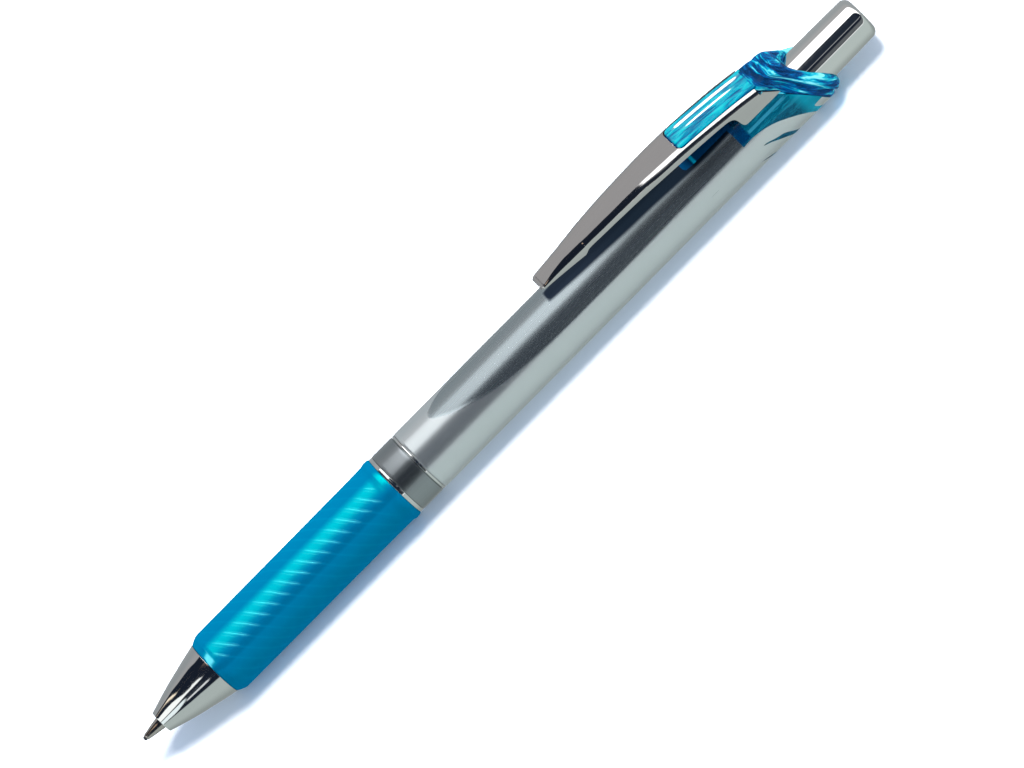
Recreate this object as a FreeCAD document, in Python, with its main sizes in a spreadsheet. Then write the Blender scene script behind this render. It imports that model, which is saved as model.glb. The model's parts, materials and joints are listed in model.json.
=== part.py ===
import FreeCAD, Part
import math
import os
import Sketcher

# Push-button mechanical pencil with a sliding tip sleeve, a sprung three-jaw
# chuck, a rubber grip, a clip and a pull-off cap over an eraser.
#
# Every piece is drawn in one drawing frame: X runs along the axis from the
# lead tip (x = 0, the front) to the end of the cap (the rear), the clip is on
# the +Z side and y = 0 is the symmetry plane.  Each piece then gets the same
# placement, which puts the origin under the middle of the pencil, level with
# its swollen grip.  All lengths are in millimetres.

# Names ending in _x are places along the axis and _rad are radii, except where
# a comment says that a group holds steps measured from those places and radii.
DIMENSIONS = dict(
    overall_length=145.0,
    fit_gap=0.02,  # clearance between pieces that plug into each other
    # lead and sliding tip
    lead_rad=0.35, lead_length=60.0,
    sleeve_tip_x=0.4, sleeve_tip_rad=0.45, sleeve_neck_x=1.7, sleeve_neck_rad=0.62,
    sleeve_cone_x=2.9, sleeve_rad=1.0, sleeve_flange_x=4.6, sleeve_flange_rad=1.5,
    sleeve_end_x=7.5, sleeve_bore_rad=0.39, retainer_x=5.4, retainer_rad=1.0,
    # steps: lead point, retainer ends and the funnel in its rear face
    lead_bevel_length=0.12, lead_bevel_depth=0.1, retainer_gap=0.03, retainer_recess=0.2,
    funnel_gap=0.25, funnel_depth=0.7,
    # nose cone
    nose_x=3.5, nose_front_rad=1.8, nose_mid_x=8.0, nose_mid_rad=3.13,
    nose_end_x=14.35, nose_end_rad=4.58, nose_curve_a=24.0, nose_curve_b=46.0,
    nose_hole_rad=1.06, nose_bore_x=4.5, nose_bore_rad=1.55,
    nose_thread_x=10.8, nose_thread_rad=3.25,
    # steps: bevelled rear mouth of the nose bore
    nose_mouth_recess=0.02, nose_mouth_length=0.2, nose_mouth_depth=0.3,
    # grip core, the tube that carries grip, rings and mechanism
    core_rad=4.33, core_step_x=14.4, core_end_x=55.85,
    core_thread_end_x=62.0, core_thread_rad=4.26,
    core_guide_rad=1.85, core_ring_x=14.15, core_bore_rad=2.4,
    # steps: gap to the nose cone and front bevel
    core_gap=0.03, core_bevel_length=0.22, core_bevel_depth=0.2,
    # rubber grip
    grip_x=14.35, grip_end_x=50.72, grip_front_rad=4.6, grip_rad=5.17,
    grip_straight_x=44.0, grip_swell_x=49.2, grip_swell_rad=5.42,
    grip_rear_rad=5.3, grip_bore_rad=4.35,
    # steps: rounded front edge and rear bevel
    grip_edge_length=0.55, grip_edge_rise=0.36, grip_shoulder_length=1.2,
    grip_shoulder_drop=0.05, grip_front_length=2.0, grip_rear_bevel=0.35,
    # rings and collar between grip and barrel
    ring_x=50.75, ring_end_x=51.38, ring_rad=5.2,
    collar_x=51.4, collar_end_x=55.3, collar_rad=5.22, collar_bore_rad=4.35,
    joint_ring_x=55.42, joint_ring_end_x=55.82, joint_ring_rad=5.2, ring_bevel=0.08,
    # rear barrel
    barrel_x=55.85, barrel_rad=5.22, barrel_bore_rad=4.3, barrel_gap=0.03, barrel_bevel=0.1,
    # slanted seam between barrel and crown, an arc seen from the side
    seam_x=126.6, seam_top=5.2, seam_rad=11.8, seam_end_x=133.75, seam_end_z=-5.5,
    # crown with its tongue
    crown_height=8.1, crown_hump_half=2.85, crown_rear_x=132.2, crown_rear_z=3.6,
    crown_hump_curve=7.6, crown_low_x=136.3, crown_low_z=-3.6, crown_curve=8.6,
    crown_bore_rad=3.65, crown_skirt_x=121.4, crown_skirt_rad=4.26, crown_skirt_end_x=133.0,
    tongue_x=113.0, tongue_half=2.35, tongue_thick=1.5,
    tab_slot_x=129.25, tab_slot_low=5.3, tab_slot_high=6.5, tab_slot_half=2.2,
    # steps, apart from hump_base_z: collar, hump, rear cut and tongue
    crown_inset=0.01, hump_base_z=3.9, hump_flat=0.8, hump_drop=0.02, hump_end_back=0.1,
    hump_end_rise=0.35, rear_cut_slant=3.0, tongue_tip_drop=0.55, tongue_tip_length=0.5,
    tongue_shoulder_drop=0.05, tongue_proud=0.05, tongue_overlap=0.3,
    # clip: rear end, window, tab and web
    clip_end_x=126.5, clip_end_top=7.85, clip_end_half=3.17, clip_heel_z=5.1,
    clip_heel_x=127.25, clip_heel_mid=4.75, clip_foot_x=128.1, clip_foot_low=4.3,
    clip_wall=0.55, clip_clear=5.28, clip_inner_drop=0.3, clip_tip_inset=0.5,
    clip_window_x=112.88, clip_window_half=2.43, clip_window_end_x=127.5,
    clip_window_low=5.9, clip_window_high=13.0,
    clip_tab_x=128.9, clip_tab_low=5.55, clip_tab_high=6.25, clip_tab_half=1.95,
    clip_web_half=2.75, clip_tab_root_x=122.4, clip_web_length=3.2, clip_tab_setback=1.0,
    # contact bead; its last three lengths are steps
    bead_x=93.2, bead_rad=1.1, bead_low=5.4, bead_width=1.6,
    bead_rise=0.5, bead_front_sink=0.3, bead_rear_sink=0.45,
    # cap over the eraser
    cap_skirt_x=127.0, cap_skirt_rad=3.15, cap_step_x=131.0, cap_rad=3.6,
    cap_end_rad=3.46, cap_round=0.85, cap_bore_rad=3.0, cap_bore_end_x=143.8,
    cap_step_length=0.3, cap_round_gap=0.02, cap_bore_bevel=0.4,
    # eraser and its holder
    holder_x=118.0, holder_plug_rad=1.95, holder_plug_bore=1.4, holder_flange_x=126.1,
    holder_cup_x=127.0, holder_rad=2.92, holder_cup_bore=2.5, holder_end_x=131.5,
    holder_cone_length=0.6, eraser_rad=2.46, eraser_end_x=141.0, eraser_round=0.5,
    # lead tank, its connector and the spare leads
    tank_x=41.0, tank_end_x=126.0, tank_rad=2.34, tank_bore_rad=2.0,
    connector_x=32.0, connector_nose_rad=1.8, connector_flange_x=39.0,
    connector_flange_rad=2.33, connector_spigot_rad=1.97, connector_end_x=47.0,
    connector_socket_rad=1.2, connector_socket_x=37.2, connector_bore_rad=0.7,
    connector_rim=0.3, connector_funnel=2.5,
    spare_x=52.0, spare_circle=1.62, spare_stagger=1.0,
    # chuck, clutch ring, guide sleeve and spring
    chuck_x=14.12, chuck_front_rad=1.4, chuck_lip_x=14.9, chuck_lip_rad=1.75,
    chuck_cone_x=15.2, chuck_cone_rad=1.56, chuck_neck_x=18.4, chuck_rad=1.15,
    chuck_end_x=37.0, chuck_grip_x=17.5, chuck_jaw_bore=0.37, chuck_bore_rad=0.6,
    chuck_bore_cone=0.3, chuck_slot_end_x=27.0, chuck_slot_width=0.28,
    clutch_x=15.45, clutch_end_x=17.85, clutch_rad=2.33, clutch_bore_rad=1.6,
    clutch_bevel=0.15,
    guide_x=19.2, guide_end_x=35.2, guide_rad=2.38, guide_wall_x=20.4,
    guide_hole_rad=1.25, guide_bore_rad=1.88,
    spring_x=20.45, spring_end_x=31.95, spring_mean_rad=1.58, spring_wire_rad=0.2,
    spring_turns=7.0,
)

# Clip stations: x, height of the outer face, height of the lower edge, half width
CLIP_STATIONS = [
    (85.4, 9.00, 8.62, 1.45), (88.0, 9.39, 8.36, 1.72), (92.0, 9.74, 8.30, 2.04),
    (94.5, 9.89, 8.63, 2.22), (100.0, 10.12, 8.75, 2.57), (104.0, 10.19, 8.72, 2.72),
    (108.0, 10.17, 8.52, 2.84), (112.0, 10.00, 8.26, 2.94), (116.0, 9.60, 7.98, 3.04),
    (120.0, 9.06, 7.54, 3.12), (121.2, 8.86, 7.20, 3.14), (121.8, 8.76, 5.95, 3.15),
    (122.2, 8.70, 4.30, 3.16),
]
STATION_ALIASES = [
    ["clip_%s_%s" % (column, tag) for column in ("sta", "top", "low", "half")]
    for tag in "abcdefghijklm"
]
for aliases, station in zip(STATION_ALIASES, CLIP_STATIONS):
    DIMENSIONS.update(zip(aliases, station))

SPARE_COUNT = 3
SPARE_FIRST_ANGLE, SPARE_ANGLE_STEP = 243.0, 27.0  # degrees about the axis, from +Y to +Z
JAW_COUNT = 3
CUT_REACH = 12.0  # height above and below the axis, past the barrel and crown
CUT_WIDTH = 30.0  # wider than the pencil
CLIP_BLANK_WIDTH = 12.0
CLIP_TRIM_REACH = 8.0  # past the sides of the clip blank
CLIP_TRIM_HEIGHT = 40.0
LEFT, RIGHT = 1, -1  # side of its direction of travel to which an arc bulges

doc = FreeCAD.newDocument("mechanical_pencil")
sheet = doc.addObject("Spreadsheet::Sheet", "Dims")
sheet.Label = "Dims"


class Length:
    """A length that carries both its sheet expression and its number."""

    def __init__(self, text, value):
        self.text, self.value = text, value

    @staticmethod
    def of(number):
        if isinstance(number, Length):
            return number
        return Length(repr(float(number)), float(number))

    def __add__(self, other):
        other = Length.of(other)
        return Length("(%s + %s)" % (self.text, other.text), self.value + other.value)

    def __sub__(self, other):
        other = Length.of(other)
        return Length("(%s - %s)" % (self.text, other.text), self.value - other.value)

    def __mul__(self, other):
        other = Length.of(other)
        return Length("(%s * %s)" % (self.text, other.text), self.value * other.value)

    def __neg__(self):
        return Length("(0 - %s)" % self.text, -self.value)

    def is_bound(self):
        return "Dims." in self.text


class Dimensions:
    """Holds each dimension of the sheet as an attribute."""


dims = Dimensions()
for row, (alias, number) in enumerate(DIMENSIONS.items(), start=1):
    sheet.set("A%d" % row, alias)
    sheet.set("B%d" % row, repr(float(number)))
    sheet.setAlias("B%d" % row, alias)
    setattr(dims, alias, Length("Dims." + alias, float(number)))
doc.recompute()

# rows of (x, top, low, half)
stations = [[getattr(dims, alias) for alias in aliases] for aliases in STATION_ALIASES]
parts = []


# ---------------------------------------------------------------- helpers
def origin_feature(body, role):
    return [item for item in body.Origin.OriginFeatures if item.Role == role][0]


def new_body(name):
    body = doc.addObject("PartDesign::Body", name)
    body.Label = name
    return body


def finish(piece, name):
    """Moves a piece from the drawing frame to the pencil's frame and lists it for export."""
    piece.Label = name
    piece.setExpression("Placement.Base.x", "0 - Dims.overall_length / 2")
    # the swell of the grip is the lowest point
    piece.setExpression("Placement.Base.z", "Dims.grip_swell_rad")
    parts.append((name, piece))


def new_sketch(body, role, name):
    sketch = body.newObject("Sketcher::SketchObject", name)
    sketch.AttachmentSupport = (origin_feature(body, role), [""])
    sketch.MapMode = "FlatFace"
    return sketch


def arc_between(start, end, radius, side):
    """The arc from start to end, bulging to the given side.  Arcs always run anticlockwise,
    so one that bulges to the left is drawn from end to start."""
    chord = end - start
    left = FreeCAD.Vector(-chord.y, chord.x, 0).normalize()
    rise = math.sqrt(radius * radius - (chord.Length / 2) ** 2)
    centre = (start + end) * 0.5 - left * (side * rise)
    first, last = (start, end) if side == RIGHT else (end, start)
    first_angle = math.atan2(first.y - centre.y, first.x - centre.x)
    last_angle = math.atan2(last.y - centre.y, last.x - centre.x)
    if last_angle < first_angle:
        last_angle += 2 * math.pi
    circle = Part.Circle(centre, FreeCAD.Vector(0, 0, 1), radius)
    return Part.ArcOfCircle(circle, first_angle, last_angle)


def draw_loop(sketch, points):
    """Draws and constrains one closed loop; returns (constraint, length) pairs to bind."""
    places = [FreeCAD.Vector(Length.of(p[0]).value, Length.of(p[1]).value, 0) for p in points]
    edges = []  # (geometry, its start vertex, its end vertex)
    for i, point in enumerate(points):
        start, end = places[i], places[(i + 1) % len(points)]
        if len(point) > 2:
            edge = arc_between(start, end, Length.of(point[2]).value, point[3])
            vertices = (1, 2) if point[3] == RIGHT else (2, 1)
        else:
            edge = Part.LineSegment(start, end)
            vertices = (1, 2)
        edges.append((sketch.addGeometry(edge, False),) + vertices)

    def constrain(*arguments):
        return sketch.addConstraint(Sketcher.Constraint(*arguments))

    for i, (edge, _, end) in enumerate(edges):
        following, start, _ = edges[(i + 1) % len(edges)]
        constrain("Coincident", edge, end, following, start)

    pairs = []
    for point, (edge, start, _) in zip(points, edges):
        for kind, axis, length in (("DistanceX", -2, point[0]), ("DistanceY", -1, point[1])):
            length = Length.of(length)
            if abs(length.value) < 1e-9:
                constrain("PointOnObject", edge, start, axis)
                continue
            # a negative coordinate is a positive distance from the point to the origin
            if length.value > 0:
                index = constrain(kind, -1, 1, edge, start, length.value)
            else:
                length = -length
                index = constrain(kind, edge, start, -1, 1, length.value)
            pairs.append((index, length))
        if len(point) > 2:
            radius = Length.of(point[2])
            pairs.append((constrain("Radius", edge, radius.value), radius))
    return pairs


def outline(body, role, name, loops):
    """A sketch of closed loops on one of the body's planes.  A loop's points are (u, v) or
    (u, v, radius, side), which bends the edge leaving the point into an arc."""
    sketch = new_sketch(body, role, name)
    doc.recompute()
    pairs = []
    for points in loops:
        pairs += draw_loop(sketch, points)
    for index, length in pairs:
        if length.is_bound():
            sketch.setExpression("Constraints[%d]" % index, length.text)
    doc.recompute()
    return sketch


def turned(body, name, points, cut=False):
    """A closed outline (x, radius) turned once round the pencil's axis."""
    sketch = outline(body, "XZ_Plane", name + "_outline", [points])
    feature = body.newObject("PartDesign::Groove" if cut else "PartDesign::Revolution", name)
    feature.Profile = sketch
    feature.ReferenceAxis = (sketch, ["H_Axis"])
    feature.Angle = 360.0
    sketch.Visibility = False
    body.Tip = feature
    doc.recompute()


def slab(body, name, role, loops, width, cut=False):
    """Closed outlines on a plane through the axis, padded or cut equally to both sides."""
    volume_before = body.Shape.Volume if cut else 0.0
    sketch = outline(body, role, name + "_outline", loops)
    feature = body.newObject("PartDesign::Pocket" if cut else "PartDesign::Pad", name)
    feature.Profile = sketch
    feature.Type = 0
    # SideType takes the place of Midplane in newer FreeCAD versions
    if hasattr(feature, "SideType"):
        feature.SideType = "Symmetric"
    else:
        feature.Midplane = True
    width = Length.of(width)
    feature.Length = width.value
    if width.is_bound():
        feature.setExpression("Length", width.text)
    sketch.Visibility = False
    body.Tip = feature
    doc.recompute()
    if cut and not volume_before - body.Shape.Volume > 1e-4:
        raise RuntimeError(name + " removed nothing")
    return feature


def side_slab(body, name, points, width, cut=False):
    """A slab whose one outline (x, z) is seen from the side."""
    return slab(body, name, "XZ_Plane", [points], width, cut)


def rectangle(x_start, x_end, low, high):
    return [(x_start, low), (x_end, low), (x_end, high), (x_start, high)]


def turned_piece(name, feature_name, points):
    """A whole piece made by one turned outline."""
    body = new_body(name)
    turned(body, feature_name, points)
    finish(body, name)


def lengthwise_cylinder(name, radius, length):
    cylinder = doc.addObject("Part::Cylinder", name)
    cylinder.setExpression("Radius", radius.text)
    cylinder.setExpression("Height", length.text)
    turn = FreeCAD.Rotation(FreeCAD.Vector(0, 1, 0), 90)
    cylinder.Placement = FreeCAD.Placement(FreeCAD.Vector(0, 0, 0), turn)
    return cylinder


def boolean(kind, name, base, tool):
    feature = doc.addObject(kind, name)
    feature.Base, feature.Tool = base, tool
    doc.recompute()
    return feature


# ---------------------------------------------------------------- lead and tip
turned_piece("lead", "rod", [
    (0, 0), (dims.lead_length, 0), (dims.lead_length, dims.lead_rad),
    (dims.lead_bevel_length, dims.lead_rad), (0, dims.lead_rad - dims.lead_bevel_depth),
])

# A fine pipe, a cone, and a flange that the nose cone keeps in.
socket_rad = dims.retainer_rad + dims.fit_gap
turned_piece("tip_sleeve", "tube", [
    (dims.sleeve_tip_x, dims.sleeve_bore_rad), (dims.sleeve_tip_x, dims.sleeve_tip_rad),
    (dims.sleeve_neck_x, dims.sleeve_neck_rad), (dims.sleeve_cone_x, dims.sleeve_rad),
    (dims.sleeve_flange_x, dims.sleeve_rad), (dims.sleeve_flange_x, dims.sleeve_flange_rad),
    (dims.sleeve_end_x, dims.sleeve_flange_rad), (dims.sleeve_end_x, socket_rad),
    (dims.retainer_x, socket_rad), (dims.retainer_x, dims.sleeve_bore_rad),
])

# A rubber washer inside the sleeve stops the lead from falling back.
washer_x = dims.retainer_x + dims.retainer_gap
washer_end_x = dims.sleeve_end_x - dims.retainer_recess
washer_bore_rad = dims.lead_rad + dims.fit_gap
turned_piece("lead_retainer", "washer", [
    (washer_x, washer_bore_rad), (washer_x, dims.retainer_rad),
    (washer_end_x, dims.retainer_rad), (washer_end_x, dims.lead_rad + dims.funnel_gap),
    (washer_end_x - dims.funnel_depth, washer_bore_rad),
])

# ---------------------------------------------------------------- nose cone
mouth_x = dims.nose_thread_x - dims.nose_mouth_recess
turned_piece("nose_cone", "shell", [
    (dims.nose_x, dims.nose_hole_rad),
    (dims.nose_x, dims.nose_front_rad, dims.nose_curve_a, LEFT),
    (dims.nose_mid_x, dims.nose_mid_rad, dims.nose_curve_b, LEFT),
    (dims.nose_end_x, dims.nose_end_rad), (dims.nose_end_x, dims.nose_thread_rad),
    (dims.nose_thread_x, dims.nose_thread_rad),
    (mouth_x, dims.nose_bore_rad + dims.nose_mouth_depth),
    (mouth_x - dims.nose_mouth_length, dims.nose_bore_rad),
    (dims.nose_bore_x, dims.nose_bore_rad), (dims.nose_bore_x, dims.nose_hole_rad),
])

# ---------------------------------------------------------------- grip core and grip
core_x = dims.nose_thread_x + dims.core_gap
core_front_rad = dims.nose_thread_rad - dims.fit_gap
turned_piece("grip_core", "tube", [
    (core_x, dims.core_guide_rad), (core_x, core_front_rad - dims.core_bevel_depth),
    (core_x + dims.core_bevel_length, core_front_rad), (dims.core_step_x, core_front_rad),
    (dims.core_step_x, dims.core_rad), (dims.core_end_x, dims.core_rad),
    (dims.core_end_x, dims.core_thread_rad), (dims.core_thread_end_x, dims.core_thread_rad),
    (dims.core_thread_end_x, dims.core_bore_rad), (dims.core_ring_x, dims.core_bore_rad),
    (dims.core_ring_x, dims.core_guide_rad),
])

turned_piece("grip_sleeve", "rubber", [
    (dims.core_step_x, dims.grip_bore_rad), (dims.core_step_x, dims.grip_front_rad),
    (dims.grip_x + dims.grip_edge_length, dims.grip_front_rad + dims.grip_edge_rise),
    (dims.grip_x + dims.grip_shoulder_length, dims.grip_rad - dims.grip_shoulder_drop),
    (dims.grip_x + dims.grip_front_length, dims.grip_rad),
    (dims.grip_straight_x, dims.grip_rad), (dims.grip_swell_x, dims.grip_swell_rad),
    (dims.grip_end_x - dims.grip_rear_bevel, dims.grip_swell_rad),
    (dims.grip_end_x, dims.grip_rear_rad), (dims.grip_end_x, dims.grip_bore_rad),
])

# ---------------------------------------------------------------- rings and collar
for name, start_x, end_x, radius in (
    ("front_ring", dims.ring_x, dims.ring_end_x, dims.ring_rad),
    ("band_collar", dims.collar_x, dims.collar_end_x, dims.collar_rad),
    ("joint_ring", dims.joint_ring_x, dims.joint_ring_end_x, dims.joint_ring_rad),
):
    bevel = dims.ring_bevel
    turned_piece(name, "ring", [
        (start_x, dims.collar_bore_rad), (start_x, radius - bevel), (start_x + bevel, radius),
        (end_x - bevel, radius), (end_x, radius - bevel), (end_x, dims.collar_bore_rad),
    ])


# ---------------------------------------------------------------- rear barrel
def build_rear_barrel():
    """A clear tube whose rear end is cut along the slanted seam."""
    body = new_body("rear_barrel")
    blank_end_x = dims.seam_end_x + 2.0
    cutter_end_x = dims.seam_end_x + 8.0
    seam_x = dims.seam_x - dims.barrel_gap
    seam_end_x = dims.seam_end_x - dims.barrel_gap
    turned(body, "tube", [
        (dims.barrel_x, dims.barrel_bore_rad),
        (dims.barrel_x, dims.barrel_rad - dims.barrel_bevel),
        (dims.barrel_x + dims.barrel_bevel, dims.barrel_rad),
        (blank_end_x, dims.barrel_rad), (blank_end_x, dims.barrel_bore_rad),
    ])
    side_slab(body, "seam_cut", [
        (seam_x, CUT_REACH), (cutter_end_x, CUT_REACH), (cutter_end_x, -CUT_REACH),
        (seam_end_x, -CUT_REACH), (seam_end_x, dims.seam_end_z, dims.seam_rad, RIGHT),
        (seam_x, dims.seam_top),
    ], CUT_WIDTH, cut=True)
    finish(body, "rear_barrel")


build_rear_barrel()


# ---------------------------------------------------------------- crown
def build_crown():
    """One clear moulding: a slanted collar round the button hole, a hump behind the clip,
    a tongue that fills the clip's window and a skirt that plugs into the barrel."""
    body = new_body("crown")
    blank_end_x = dims.crown_low_x + 1.0
    front_cut_x = dims.seam_x - 5.0
    rear_cut_x = dims.crown_low_x + 5.0
    collar_rad = dims.barrel_rad - dims.crown_inset
    hump_top = dims.crown_height - dims.hump_drop
    turned(body, "collar", [
        (dims.seam_x, 0), (dims.seam_x, collar_rad), (blank_end_x, collar_rad),
        (blank_end_x, 0),
    ])
    side_slab(body, "hump", [
        (dims.seam_x, dims.hump_base_z), (dims.seam_x, dims.crown_height),
        (dims.seam_x + dims.hump_flat, hump_top, dims.crown_hump_curve, LEFT),
        (dims.crown_rear_x - dims.hump_end_back, dims.crown_rear_z + dims.hump_end_rise),
    ], dims.crown_hump_half * 2.0)
    side_slab(body, "front_cut", [
        (front_cut_x, CUT_REACH), (dims.seam_x, CUT_REACH),
        (dims.seam_x, dims.seam_top, dims.seam_rad, LEFT),
        (dims.seam_end_x, dims.seam_end_z), (dims.seam_end_x, -CUT_REACH),
        (front_cut_x, -CUT_REACH),
    ], CUT_WIDTH, cut=True)
    side_slab(body, "rear_cut", [
        (dims.crown_rear_x, dims.crown_rear_z, dims.crown_curve, LEFT),
        (dims.crown_low_x, dims.crown_low_z), (dims.crown_low_x, -CUT_REACH),
        (rear_cut_x, -CUT_REACH), (rear_cut_x, CUT_REACH),
        (dims.crown_rear_x - dims.rear_cut_slant, CUT_REACH),
    ], CUT_WIDTH, cut=True)
    turned(body, "skirt", [
        (dims.crown_skirt_x, dims.crown_bore_rad), (dims.crown_skirt_x, dims.crown_skirt_rad),
        (dims.crown_skirt_end_x, dims.crown_skirt_rad),
        (dims.crown_skirt_end_x, dims.crown_bore_rad),
    ])
    hole_x = dims.crown_skirt_x - 1.0
    hole_end_x = dims.crown_low_x + 3.0
    turned(body, "button_hole", [
        (hole_x, 0), (hole_x, dims.crown_bore_rad),
        (hole_end_x, dims.crown_bore_rad), (hole_end_x, 0),
    ], cut=True)

    # the tongue follows the clip's outer face and stands slightly proud of it
    along_clip = [
        (x, top + dims.tongue_proud) for x, top, low, half in stations
        if dims.tongue_x.value < x.value < dims.seam_x.value
    ]
    tongue_end_x = dims.seam_x + dims.tongue_overlap
    upper = [
        (dims.tongue_x, dims.clip_top_h - dims.tongue_tip_drop),
        (dims.tongue_x + dims.tongue_tip_length, dims.clip_top_h - dims.tongue_shoulder_drop),
    ] + along_clip + [(tongue_end_x, hump_top)]
    lower = [(tongue_end_x, hump_top - dims.tongue_thick)]
    lower += [(x, z - dims.tongue_thick) for x, z in reversed(along_clip)]
    lower += [(dims.tongue_x, dims.clip_top_h - dims.tongue_thick)]
    side_slab(body, "tongue", upper + lower, dims.tongue_half * 2.0)
    side_slab(body, "tab_slot", rectangle(
        dims.seam_x - 1.0, dims.tab_slot_x, dims.tab_slot_low, dims.tab_slot_high,
    ), dims.tab_slot_half * 2.0, cut=True)
    finish(body, "crown")


build_crown()


# ---------------------------------------------------------------- clip
def clip_block(name, side, edge):
    """A side view padded across, then trimmed in plan along the edge (x, half width)."""
    body = new_body(name)
    side_slab(body, "side_view", side, CLIP_BLANK_WIDTH)
    front_x, rear_x = edge[0][0], edge[-1][0]
    minus_y = [(rear_x, -CLIP_TRIM_REACH), (front_x, -CLIP_TRIM_REACH)]
    minus_y += [(x, -half) for x, half in edge]
    plus_y = [(rear_x, CLIP_TRIM_REACH)] + edge[::-1] + [(front_x, CLIP_TRIM_REACH)]
    slab(body, "plan_view", "XY_Plane", [minus_y, plus_y], CLIP_TRIM_HEIGHT, cut=True)
    return body


def clip_outer_block():
    side = [(x, top) for x, top, low, half in stations]
    side += [
        (dims.clip_end_x, dims.clip_end_top), (dims.clip_end_x, dims.clip_heel_z),
        (dims.clip_heel_x, dims.clip_heel_mid), (dims.clip_foot_x, dims.clip_foot_low),
    ]
    side += [(x, low) for x, top, low, half in reversed(stations)]
    edge = [(dims.clip_sta_a - 1.0, dims.clip_half_a - dims.clip_tip_inset)]
    edge += [(x, half) for x, top, low, half in stations]
    edge += [(dims.clip_foot_x + 1.0, dims.clip_end_half)]
    return clip_block("clip_outer", side, edge)


def clip_inner_block():
    """The hollow of the channel, open below and at the rear."""
    wall = dims.clip_wall
    front_x = dims.clip_sta_a + wall
    rear_x = dims.clip_foot_x + 2.0
    floor_z = 2.0
    side = [(front_x, dims.clip_top_a - wall)]
    side += [(x, top - wall) for x, top, low, half in stations[1:]]
    side += [
        (rear_x, dims.clip_end_top - wall - dims.clip_inner_drop),
        (rear_x, floor_z), (front_x, floor_z),
    ]
    edge = [(dims.clip_sta_a - 1.0, dims.clip_half_a - wall)]
    edge += [(x, half - wall) for x, top, low, half in stations]
    edge += [(dims.clip_foot_x + 3.0, dims.clip_end_half - wall)]
    return clip_block("clip_inner", side, edge)


def clip_window_block():
    body = new_body("clip_window")
    side_slab(body, "window", rectangle(
        dims.clip_window_x, dims.clip_window_end_x, dims.clip_window_low, dims.clip_window_high,
    ), dims.clip_window_half * 2.0)
    return body


def clip_fixings():
    """Contact bead under the front of the clip, and the tab that hooks into the crown."""
    body = new_body("clip_fixings")
    shoulder = dims.bead_rad * 0.6
    shoulder_z = dims.bead_low + dims.bead_rise
    side_slab(body, "bead", [
        (dims.bead_x - dims.bead_rad, dims.clip_top_c - dims.bead_front_sink),
        (dims.bead_x - shoulder, shoulder_z), (dims.bead_x, dims.bead_low),
        (dims.bead_x + shoulder, shoulder_z),
        (dims.bead_x + dims.bead_rad, dims.clip_top_d - dims.bead_rear_sink),
    ], dims.bead_width)
    root_x = dims.clip_tab_root_x
    side_slab(body, "web", rectangle(
        root_x, root_x + dims.clip_web_length, dims.clip_tab_low, dims.clip_tab_high,
    ), dims.clip_web_half * 2.0)
    side_slab(body, "tab", rectangle(
        root_x + dims.clip_tab_setback, dims.clip_tab_x, dims.clip_tab_low, dims.clip_tab_high,
    ), dims.clip_tab_half * 2.0)
    return body


def build_clip():
    """A sprung channel with a window for the tongue, cleared from the barrel."""
    outer = clip_outer_block()
    inner = clip_inner_block()
    window = clip_window_block()
    fixings = clip_fixings()
    barrel_room = lengthwise_cylinder("clip_barrel_room", dims.clip_clear, dims.overall_length)
    channel = boolean("Part::Cut", "clip_channel", outer, inner)
    opened = boolean("Part::Cut", "clip_opened", channel, window)
    # the bead and tab meet the channel from inside
    joined = boolean("Part::Fuse", "clip_joined", opened, fixings)
    finish(boolean("Part::Cut", "clip_solid", joined, barrel_room), "clip")


build_clip()

# ---------------------------------------------------------------- cap, eraser and holder
turned_piece("push_button", "shell", [
    (dims.cap_skirt_x, dims.cap_bore_rad), (dims.cap_skirt_x, dims.cap_skirt_rad),
    (dims.cap_step_x, dims.cap_skirt_rad),
    (dims.cap_step_x + dims.cap_step_length, dims.cap_rad),
    (dims.overall_length - dims.cap_round, dims.cap_end_rad, dims.cap_round, LEFT),
    (dims.overall_length, dims.cap_end_rad - dims.cap_round + dims.cap_round_gap),
    (dims.overall_length, 0), (dims.cap_bore_end_x, 0),
    (dims.cap_bore_end_x, dims.cap_bore_rad - dims.cap_bore_bevel),
    (dims.cap_bore_end_x - dims.cap_bore_bevel, dims.cap_bore_rad),
])

turned_piece("eraser_holder", "cup", [
    (dims.holder_x, dims.holder_plug_bore), (dims.holder_x, dims.holder_plug_rad),
    (dims.holder_flange_x, dims.holder_plug_rad), (dims.holder_flange_x, dims.holder_rad),
    (dims.holder_end_x, dims.holder_rad), (dims.holder_end_x, dims.holder_cup_bore),
    (dims.holder_cup_x, dims.holder_cup_bore), (dims.holder_cup_x, 0),
    (dims.holder_flange_x, 0),
    (dims.holder_flange_x - dims.holder_cone_length, dims.holder_plug_bore),
])

eraser_x = dims.holder_cup_x + dims.fit_gap
turned_piece("eraser", "rubber", [
    (eraser_x, 0), (eraser_x, dims.eraser_rad),
    (dims.eraser_end_x - dims.eraser_round, dims.eraser_rad, dims.eraser_round, LEFT),
    (dims.eraser_end_x, dims.eraser_rad - dims.eraser_round), (dims.eraser_end_x, 0),
])

# ---------------------------------------------------------------- tank and connector
turned_piece("lead_tank", "tube", [
    (dims.tank_x, dims.tank_bore_rad), (dims.tank_x, dims.tank_rad),
    (dims.tank_end_x, dims.tank_rad), (dims.tank_end_x, dims.tank_bore_rad),
])

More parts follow.
